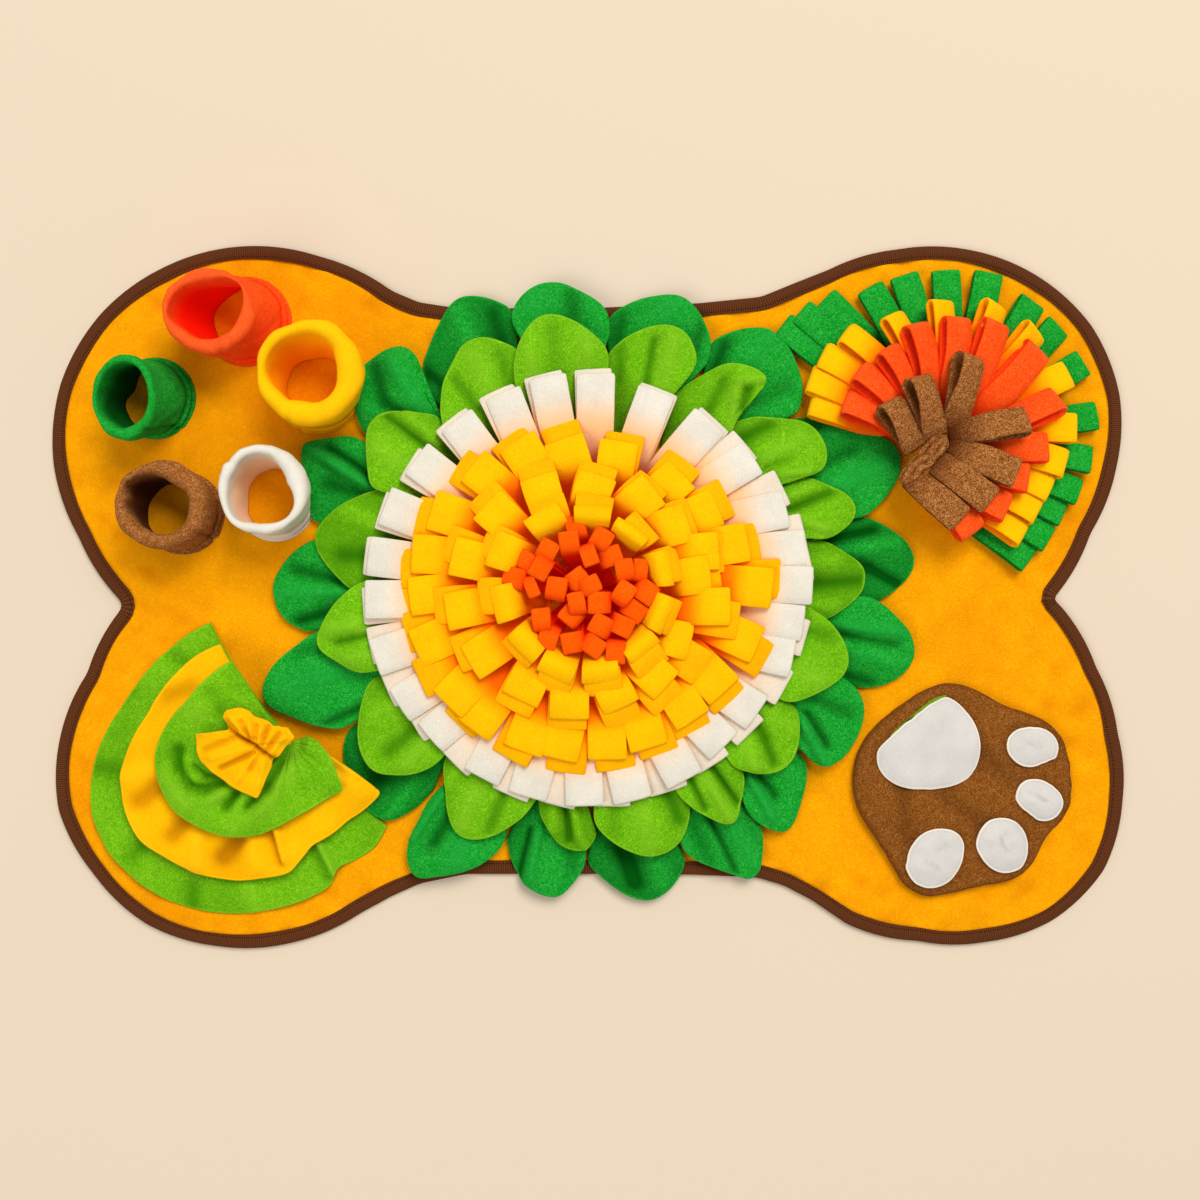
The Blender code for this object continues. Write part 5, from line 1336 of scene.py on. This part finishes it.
# The opening's edge round its middle, as angle and reach: pulled into corners by the cloth's folds.
OPENINGS = {
    "coral": ((3, 29), (23, 32.7), (36, 33.9), (49, 30.8), (79, 22.8), (115, 22.1), (141, 25.4),
              (167, 28.4), (192, 30.6), (201, 27.9), (221, 24), (249, 23.7), (273, 23.3), (296, 23.8),
              (319, 25.5), (343, 26.1)),
    "green": ((18, 20.2), (41, 22), (62, 25.3), (80, 26.7), (103, 25.3), (128, 22.1), (155, 19.2),
              (193, 20.4), (224, 23.1), (244, 23.8), (265, 26.3), (283, 24.5), (305, 23.4), (329, 21.4),
              (356, 20)),
    "yellow": ((16, 27.3), (35, 29.3), (54, 29.8), (74, 28.4), (101, 26.1), (126, 26.9), (150, 27.5),
               (172, 28.2), (188, 28.1), (206, 26.7), (226, 25.3), (249, 27.1), (257, 25.5), (274, 25.7),
               (295, 30.1), (315, 31.5), (331, 31), (352, 28.2)),
    "brown": ((19, 25.8), (32, 23.1), (54, 19.9), (81, 22.1), (107, 25.4), (129, 27.1), (150, 29.1),
              (168, 23.3), (183, 25.2), (210, 21.8), (250, 22), (271, 24.1), (293, 26.1), (312, 26.8),
              (332, 26.8), (346, 26)),
    "white": ((11, 20.4), (34, 21.3), (54, 22.9), (70, 26.3), (95, 28.1), (119, 28.3), (148, 25.5),
              (160, 26.3), (182, 26.3), (208, 28.9), (227, 31.6), (238, 31.2), (255, 28), (278, 28.2),
              (297, 30.3), (313, 31.6), (333, 29.7), (351, 25.1)),
}


def reach_at(edge, angle, rounds=4):
    """The reach of a closed edge of angles and reaches at any angle.

    The edge is drawn out to 360 even steps, and each is averaged with its neighbours (1/4, 1/2,
    1/4) over 3 degrees, a few times.
    """
    angles, reaches = np.array(edge, float).T
    even = np.interp(np.arange(360), np.mod(angles, 360), reaches, period=360)
    for _ in range(rounds):
        even = (np.roll(even, 3) + 2 * even + np.roll(even, -3)) / 4
    return np.interp(np.mod(angle, 360), np.arange(360), even, period=360)


# %% Walls, rim and hem
def apart(turn, angle):
    """The angle from one direction to another, between -180 and 180 degrees."""
    return (turn - angle + 180) % 360 - 180


def oval(spot, turn, dents=()):
    """Points of an oval (x, y, radius along x, along y) at the angles, pushed in by its dents.

    A dent is an angle, a width in degrees and a depth in mm, and adds a soft hump inwards.
    """
    push = sum(depth * bump_at(apart(turn, angle), 0, width) for angle, width, depth in dents)
    radii = np.array([spot[2], spot[-1]]) - np.expand_dims(push + 0 * turn, -1)
    return np.array(spot[:2]) + heading(turn) * radii


def hem(up):
    """How far the foot stands out at a share of the height: two turned layers and a furrow."""
    return 4.6 * bump_at(up, 0.005, 0.035) + 3.0 * bump_at(up, 0.105, 0.028) - 0.6 * bump_at(up, 0.17, 0.03)


def hem_shade(up, away):
    """Dark in the furrows beside the hem's two layers and down the seam."""
    furrows = 0.9 * bump_at(up, 0.06, 0.022) + 0.8 * bump_at(up, 0.16, 0.025)
    return furrows + 0.35 * bump_at(away, 0, 3) * (up > 0.1)


TUBE_COLUMNS = 108
TUBE_FLOOR = 3.3  # mm, where a tube's walls meet the panel
# The tone inside a tube is painted shade that deepens towards its floor; the pale tubes get less.
PALE_TUBE_SHADE = {"yellow": 0.4, "white": 0.6}  # how deep the tone gets inside the pale tubes


def make_tube(colour, seed):
    """The outer wall, half a turn of the rim and the inner wall, as rows of points round the tube.

    Wall rows: foot + (rim - foot) * smooth step of the height. Roll rows: place = outer +
    (opening - outer)(1 - cos a) / 2 and height = top - roll (1 - sin a), roll = 0.55 * the wall.
    The slack is ripples that are wrapped round the tube.
    """
    material, slot, foot, floor, floor_dents, rim, height, seam, middle = TUBES[colour]
    turn = np.linspace(0, 360, TUBE_COLUMNS, endpoint=False)[None, :]
    out, away = heading(turn), apart(turn, seam)
    cos, sin = out[..., 0], out[..., 1]
    up = np.concatenate([np.linspace(0, 0.2, 14)[:-1], np.linspace(0.2, 1, 14)])[:, None]
    about = np.linspace(0, np.pi, 13)[1:-1, None]
    down = np.linspace(1, 0, 16)[:, None]

    outer = oval(rim, turn)
    opening = np.array(middle) + out * reach_at(OPENINGS[colour], turn, 3)[..., None]
    outside = oval(foot, turn) + out * hem(up)[..., None]
    outside = outside + (outer - outside) * (ease(up) ** 0.8)[..., None]
    over = outer + (opening - outer) * ((1 - np.cos(about)) / 2)[..., None]
    inside = oval((*foot[:2], floor), turn, floor_dents)
    inside = inside + (opening - inside) * (ease(down) ** 0.7)[..., None]

    slack = 1.1 * ripple(cos * 40, sin * 40 + up * 45, 38, seed)
    slack = (slack + 0.5 * ripple(cos * 40, sin * 40 + up * 60, 17, seed + 50)) * ease(up * 4)
    slack = slack - 1.2 * bump_at(away, 0, 3) + 0.7 * bump_at(away, 8, 5)
    inner_slack = 0.9 * ripple(cos * 34 + 90, sin * 34 + down * 45, 30, seed + 20) * ease((1 - down) * 3)
    plan = np.concatenate([
        outside + out * slack[..., None],
        over + out * (slack[-1:] * (1 + np.cos(about)) / 2)[..., None],
        inside + out * inner_slack[..., None]])

    roll = np.clip(0.55 * np.linalg.norm(outer - opening, axis=2), 2.2, 8.0)
    top = height + 1.5 * ripple(cos * 30, sin * 30, 60, seed + 9) - 1.0 * bump_at(away, 0, 6)
    wall = top - roll - TUBE_FLOOR
    level = np.concatenate([
        TUBE_FLOOR + wall * up, top - roll * (1 - np.sin(about)), TUBE_FLOOR + wall * down])
    points = raised(plan, level)
    faces = rows_to_faces(len(level), TUBE_COLUMNS, wrap_rows=True, wrap_columns=True)
    # Painted light: painted shade in the hem's furrows and down the seam, a painted highlight on the rim's
    # roll, and painted shade down the inside, deepest on the left wall, warm as bounced light.
    deepest = PALE_TUBE_SHADE.get(colour, 1.0)
    tone = np.concatenate([
        hem_shade(up, away), -0.25 * np.sin(about) + 0 * turn,
        deepest * ease((1 - down) * (1.7 + 0.8 * np.cos(np.radians(turn - 200))))])
    piece = put(f"{colour}_tube", points, faces, material, [f"tube_{colour}"],
                tone=np.clip(tone, -1, 1))


for number, colour in enumerate(TUBES):
    make_tube(colour, 81 + number)
print("tubes:", len(TUBES))

# %% [markdown]
# ## The paw
# The paw is a stuffed applique: brown fleece with long curly nap over a thin filling, its edge
# turned under and sewn, which gathers small puckers all round. It is a padded piece, a crowned
# disc in polar coordinates about its own middle.

# %% Paw tables
PAW = np.array([314.5, -161.0])
PAW_EDGE = (
    (-3.9, 91), (8.3, 90), (22, 93), (32.5, 94), (43.3, 87), (63.9, 76), (83.7, 84), (96.9, 91),
    (108.5, 90), (123.9, 87), (142, 90), (157.1, 94), (167.9, 94), (180.8, 93), (192.6, 90), (205.5, 84),
    (221.5, 84), (232, 90), (241.1, 97), (251.6, 96), (263.9, 86), (281.2, 81), (300.1, 87), (311.6, 86),
    (321.5, 81), (330.9, 77), (345, 89),
)
# A long nap tumbled into curls: stronger clumps, 1 mm deep. Its deep colour is painted shade.
PAW_BROWN = fleece("Curly brown fleece", "743A0C", "B07834", "42200A", "96602C", 0.65, 0.12, 1.8, 1.0)
# Needled felt has no nap: its fibres lie pressed flat and show as small faint clumps. Its deep
# colour is painted shade in creases and the seam, and its edge colour a painted highlight.
FELT = fleece("White felt", "CCC6BE", "DCD8D0", "A89888", "FFF0D8", 0.5, 0.1, 1.4, 0.3)
FELT_THREAD = fleece("White sewing thread", "CFC8C2", "E8E2DC", "B0A8A0", "E8E2DC", 0.4, 0.1, 0.8, 0.1)
# The lining is the light green fleece, its colour dulled as painted shade where it lies in the slit, and its
# deep colour the painted shadow inside the slit.
LINING = fleece("Green lining", "5E8A0C", "8CB028", "1E2404", "86AC20", 0.5)
# Each toe pad: its middle and its edge round it, as angle and reach.
PAW_TOES = (
    ((370.3, -125.1), (
        (3, 21.5), (19, 20.6), (36, 19.2), (56, 17.6), (84, 16.1), (112, 17), (138, 19.6), (158, 21.3),
        (177, 21.4), (192, 20.7), (209, 19.2), (232, 17.8), (256, 16.5), (276, 15.7), (299, 15.2),
        (324, 17.8), (335, 21.3), (347, 21.3))),
    ((376.1, -169.1), (
        (13, 18.3), (35, 16.1), (61, 15.3), (84, 16.3), (107, 17.9), (124, 19.8), (142, 20.7), (160, 20.4),
        (176, 19.9), (198, 16.5), (224, 13.8), (248, 14.3), (264, 16.4), (279, 17.5), (297, 18.8),
        (316, 19.9), (337, 20.1), (354, 20))),
    ((344.7, -207.0), (
        (15, 21.3), (39, 21.8), (60, 22.5), (79, 22.7), (97, 22.9), (118, 23.3), (138, 22.3), (158, 21.6),
        (177, 21.4), (205, 19.5), (228, 19.6), (253, 21.1), (272, 22.7), (292, 23.7), (310, 24.7),
        (327, 23.4), (351, 21.8))),
    ((288.7, -217.6), (
        (9, 23.8), (27, 26.7), (43, 27.8), (59, 27.1), (76, 25.1), (98, 23.4), (121, 22.1), (143, 21.3),
        (167, 21.7), (186, 22.5), (197, 24.8), (210, 25), (232, 26), (252, 25.5), (279, 23.9), (301, 22.7),
        (324, 21.6), (348, 22.1))),
)
# Short creases in the toe pads: (x, y) at both ends, width and rise, from each pad's middle.
PAD_CREASES = (
    (), ((-4, 3, 6, -1, 1.6, -0.8),), ((-2, 3, 4, -1, 1.3, -1.5), (-9, 6, -2, 3, 2.5, -0.6)),
    ((-1, 6, 0, 0, 1.2, -1.4), (0, 0, 3, -4, 1.4, -1.2), (3, 10, -1, 6, 2.6, -0.6)),
    ((-4, -5, 3, -9, 1.6, -1.2), (2, 7, 8, 10, 2.2, -0.8), (-8, -3, -3, -6, 1.8, -0.8)))
# Where the filling sags between the pads: (x, y) at both ends, width and rise in mm.
PAW_FOLDS = (
    (262, -158, 266, -200, 8, -1.4), (300, -168, 330, -190, 9, -1.2), (330, -130, 350, -152, 9, -1.2),
    (318, -160, 352, -168, 10, 1.2), (276, -175, 292, -188, 9, 1.2), (240, -150, 250, -175, 8, 0.9))
MAIN_PAD = np.array([284.0, -124.0])
MAIN_PAD_EDGE = (
    (3, 42.4), (14, 42), (28, 42), (44, 41.8), (59, 43), (71, 43.1), (82, 36.5), (101, 29.3), (122, 25.7),
    (152, 28.3), (168, 32.7), (180, 38.9), (183, 41.7), (191, 43.8), (201, 45.3), (213, 44.9), (226, 42.7),
    (241, 39.5), (261, 35.8), (284, 35.7), (303, 38.2), (320, 41.2), (336, 42.1), (349, 42.2),
)


def paw_height(x, y):
    """The paw's top: 13 mm, a crown 3.5 mm (1 - (distance / edge)^2) and a ripple."""
    dx, dy = x - PAW[0], y - PAW[1]
    share = np.hypot(dx, dy) / reach_at(PAW_EDGE, np.degrees(np.arctan2(dy, dx)), 8)
    return 13.0 + 3.5 * (1 - np.minimum(share, 1) ** 2) + 0.4 * ripple(x, y, 46, 91)


def pad_rims(count=96):
    """The outlines of the five pads: label, centre and the rim as points round it."""
    turn = np.linspace(0, 360, count, endpoint=False)
    rims = []
    for number, (middle, edge) in enumerate(((MAIN_PAD, MAIN_PAD_EDGE), *PAW_TOES)):
        label = f"toe_{number}" if number else "main_pad"
        rims.append((label, np.array(middle), heading(turn) * reach_at(edge, turn, 1)[:, None]))
    return rims


def depth_inside(centre, rim, x, y):
    """How far a place lies inside a pad's edge, along the ray from the pad's centre, in mm."""
    angle = np.degrees(np.arctan2(rim[:, 1], rim[:, 0]))
    dx, dy = x - centre[0], y - centre[1]
    limit = np.interp(np.degrees(np.arctan2(dy, dx)), angle, np.hypot(*rim.T), period=360)
    return limit - np.hypot(dx, dy)


print("pads:", [label for label, _, _ in pad_rims()])

# %% The stuffed paw
# The side of the stuffing from the foot up: the share of the edge's reach and the height.
PAW_SIDE = np.array([(0.955, 3.3), (0.985, 4.8), (1.0, 7.4), (0.995, 9.6), (0.98, 11.4)])


def make_paw():
    """Rings of the paw's edge: drawn in at the foot, full at the side, crowned above.

    Near the edge the height gathers: small waves round the angle, fading over the outer fifth.
    Round each pad the seam pulls a soft hollow.
    """
    turn = np.linspace(0, 360, 240, endpoint=False)[None, :]
    swing = np.radians(turn)
    edge = reach_at(PAW_EDGE, turn, 8)
    shares = np.concatenate([PAW_SIDE[:, 0], np.linspace(0.962, 0.04, 60)])[:, None]
    pleat = np.sin(swing * 29 + 1.3 * np.sin(swing * 5)) * (0.5 + 0.5 * np.sin(swing * 3 + 1))
    gather = pleat * bump_at(shares, 0.985, 0.03)
    plan = PAW + heading(turn + 0 * shares) * (edge * shares * (1 + 0.004 * gather))[..., None]
    x, y = plan[..., 0], plan[..., 1]
    hollow = sum(bump_at(depth_inside(centre, rim, x, y), 0.5, 5.5) for _, centre, rim in pad_rims())
    sag = relief(x, y, PAW_FOLDS)
    height = paw_height(x, y) + 0.35 * gather - 2.0 * bump_at(shares, 1.0, 0.05)
    height = height - 1.5 * np.minimum(hollow, 1.3) + sag
    height[:len(PAW_SIDE)] = PAW_SIDE[:, 1:] + 0.3 * gather[:len(PAW_SIDE)]
    rings = raised(plan, height)[::-1]
    points, faces = closed_dome(rings, [*PAW, height[-1].mean()], [*PAW, PAW_SIDE[0, 1]])
    # Painted shade near the rolled edge, in the hollows round the pads and in the sags of the filling.
    tone = 0.25 * bump_at(shares, 0.985, 0.022) + 0.3 * np.minimum(hollow, 1) - 0.25 * sag
    tones = np.concatenate([np.clip(tone, 0, 1)[::-1].ravel(), [0, 0]])
    piece = put("stuffed_paw", points, faces, PAW_BROWN, ["paw_body"], tone=tones)
    return piece


PAW_PIECE = make_paw()
print("paw:", len(PAW_PIECE.data.polygons), "faces")

# %% [markdown]
# ## The felt pads
# Each pad is cut from felt and sewn down near its edge, so it follows the paw and puffs up inside
# the seam. Shrinkwrap could lay a disc on the paw, but the paw's height is a formula, so the pad
# uses the same formula and adds its own height.

# %% The pads and their seams
PAD_STITCH = 1.6  # mm from a pad's edge in to its seam
PAD_SINK = 0.9  # mm that the seam presses a pad's level into the paw
PAD_ABOVE, PAD_BELOW = 2.1, 0.6  # mm from that level up to the felt's top and down to its underside
SEAM_SINK = 0.75  # mm that the thread lies below the felt's top
# The rows of points from a pad's middle out to its edge, closer together where it turns down.
PAD_SHARES = np.array([0.04, 0.12, 0.22, 0.34, 0.46, 0.58, 0.68, 0.76, 0.82, 0.87, 0.91, 0.94, 0.97, 1.0])


def make_pad(label, centre, rim, number):
    """A felt disc on the paw: it follows the crown, puffs up inside its seam and ends in a rim."""
    shares = PAD_SHARES[:, None]
    plan = centre + rim * shares[..., None]
    x, y = plan[..., 0], plan[..., 1]
    size = np.hypot(*rim.T)[None, :]
    from_edge = size * (1 - shares)
    crease = relief(x - centre[0], y - centre[1], PAD_CREASES[number]) if PAD_CREASES[number] else 0 * x
    seam = bump_at(from_edge, PAD_STITCH, 0.8)
    puff = 1.5 * ease(from_edge / 12) - 0.5 * seam + 0.5 * ripple(x, y, 17, 101 + number) + crease
    base = paw_height(x, y) - PAD_SINK
    upper = np.stack([x, y, base + PAD_ABOVE + puff], axis=2)
    under = np.stack([x, y, base - PAD_BELOW], axis=2)
    halfway = (upper[-1, :, 2:] + under[-1, :, 2:]) / 2
    edge = np.concatenate([centre + rim * (1 + 0.5 / size.T), halfway], axis=1)
    rings = np.concatenate([upper, edge[None], under[::-1]])
    points, faces = closed_dome(rings, [*centre, upper[0, :, 2].mean()], [*centre, under[0, :, 2].mean()])
    # Painted shade in the creases and the seam's groove, and a painted highlight along the cut edge.
    tone = np.clip(-0.2 * crease, 0, 0.4) + 0.15 * seam - 0.8 * bump_at(from_edge, 0, 0.7)
    tones = np.concatenate([tone.ravel(), np.full(size.size, -1.0), np.zeros(tone.size), [tone[0].mean(), 0]])
    piece = put(f"felt_{label}", points, faces, FELT, [f"paw_{label}"], tone=tones)
    line = centre + rim * (1 - PAD_STITCH / size.T)
    level = paw_height(*line.T) - PAD_SINK + PAD_ABOVE - SEAM_SINK
    seam_line = np.column_stack([line, level])
    make_stitches(f"{label}_stitches", seam_line, 3.4, 2.3, 0.4, FELT_THREAD)


for number, (label, centre, rim) in enumerate(pad_rims()):
    make_pad(label, centre, rim, number)

# %% [markdown]
# ## The slit in the main pad
# The main pad's long side is a shallow slit, and a strip of green cloth peeps out of it. It could
# be a whole pocket, but only this strip shows, so only it is made.

# %% The green lining
SLIT = ((252.2, -117.2), (259.2, -111.0), (270.7, -102.2), (278.8, -95.3), (289.2, -87.9), (299.5, -82.3))
UNDER_PAD = 9  # mm of the lining that lie under the pad


def make_lining():
    """A strip of green lining under the pad's long side; its edge peeps out of the slit there.

    Points = line + side * s, for s from 9 mm inside to about 3 mm outside. It lies in the paw's
    nap and rises by 1 mm where it comes out.
    """
    line = soft_line(SLIT, 40, 3)
    run = unit(np.gradient(line, axis=0))
    out = np.stack([-run[:, 1], run[:, 0]], axis=1)
    share = np.linspace(0, 1, 40)
    peep = 2.4 * np.sin(np.pi * share) ** 0.5 + 1.2 * bump_at(share, 0.8, 0.12)
    reach = -UNDER_PAD + (peep[:, None] + UNDER_PAD) * np.linspace(0, 1, 9)
    plan = line[:, None] + out[:, None] * reach[..., None]
    level = paw_height(plan[..., 0], plan[..., 1]) - 2.2 + 1.0 * ease((reach + 1) / 2.5)
    middle = raised(plan, level)
    # Painted shadow: the tone is deep along part of the slit, where its dark inside shows.
    tone = np.clip(1.3 * bump_at(share, 0.3, 0.12), 0, 1)[:, None] + 0 * reach
    points, faces, tones = cut_sheet(middle, 1.2, tone)
    piece = put("slit_lining", points, faces, LINING, tone=tones)
    print(f"lining: peeps out by up to {peep.max():.1f} mm")


make_lining()

# %% [markdown]
# ## Floor, light and camera
# The mat lies on a plain cream floor under soft light: one big lamp nearly overhead, a little to
# the upper right, a weaker one at the lower left, and a pale sky for the shadows. The camera looks
# straight down from 1.15 m.

# %% Stage
def make_floor():
    """A large plain floor under the mat."""
    mesh = bpy.data.meshes.new("floor")
    corners = [(-3, -3, -0.0005), (3, -3, -0.0005), (3, 3, -0.0005), (-3, 3, -0.0005)]
    mesh.from_pydata(corners, [], [(0, 1, 2, 3)])
    material, _, shader = blank_cloth("Cream paper", 0.9, 0.0, "FFFFFF")
    shader.inputs["Base Color"].default_value = linear("DDCAB1")
    mesh.materials.append(material)
    floor = bpy.data.objects.new("floor", mesh)
    bpy.context.scene.collection.objects.link(floor)


def soft_lamp(name, place, size, power):
    """A square white area lamp at a place in metres, aimed at the mat's middle."""
    data = bpy.data.lights.new(name, "AREA")
    data.shape = "SQUARE"
    data.size = size
    data.energy = power
    lamp = bpy.data.objects.new(name, data)
    lamp.location = place
    lamp.rotation_euler = (-Vector(place)).to_track_quat("-Z", "Y").to_euler()
    bpy.context.scene.collection.objects.link(lamp)


make_floor()
soft_lamp("key", (1.6, 3.2, 5.0), 3.0, 285.0)
soft_lamp("fill", (-3.2, -2.6, 4.6), 3.8, 118.0)
world = bpy.data.worlds.new("studio")
world.use_nodes = True
world.node_tree.nodes["Background"].inputs["Color"].default_value = linear("FFFFFF")
world.node_tree.nodes["Background"].inputs["Strength"].default_value = 0.45
bpy.context.scene.world = world
bpy.context.scene.view_settings.view_transform = "Standard"

# %% Camera
camera_data = bpy.data.cameras.new("camera")
camera_data.lens = 40.9
camera_data.sensor_width = 36.0
camera = bpy.data.objects.new("camera", camera_data)
camera.location = (9.98 * MM, -2.28 * MM, 1.15)
bpy.context.scene.collection.objects.link(camera)
bpy.context.scene.camera = camera
print("camera:", camera.location[2], "m above the floor")
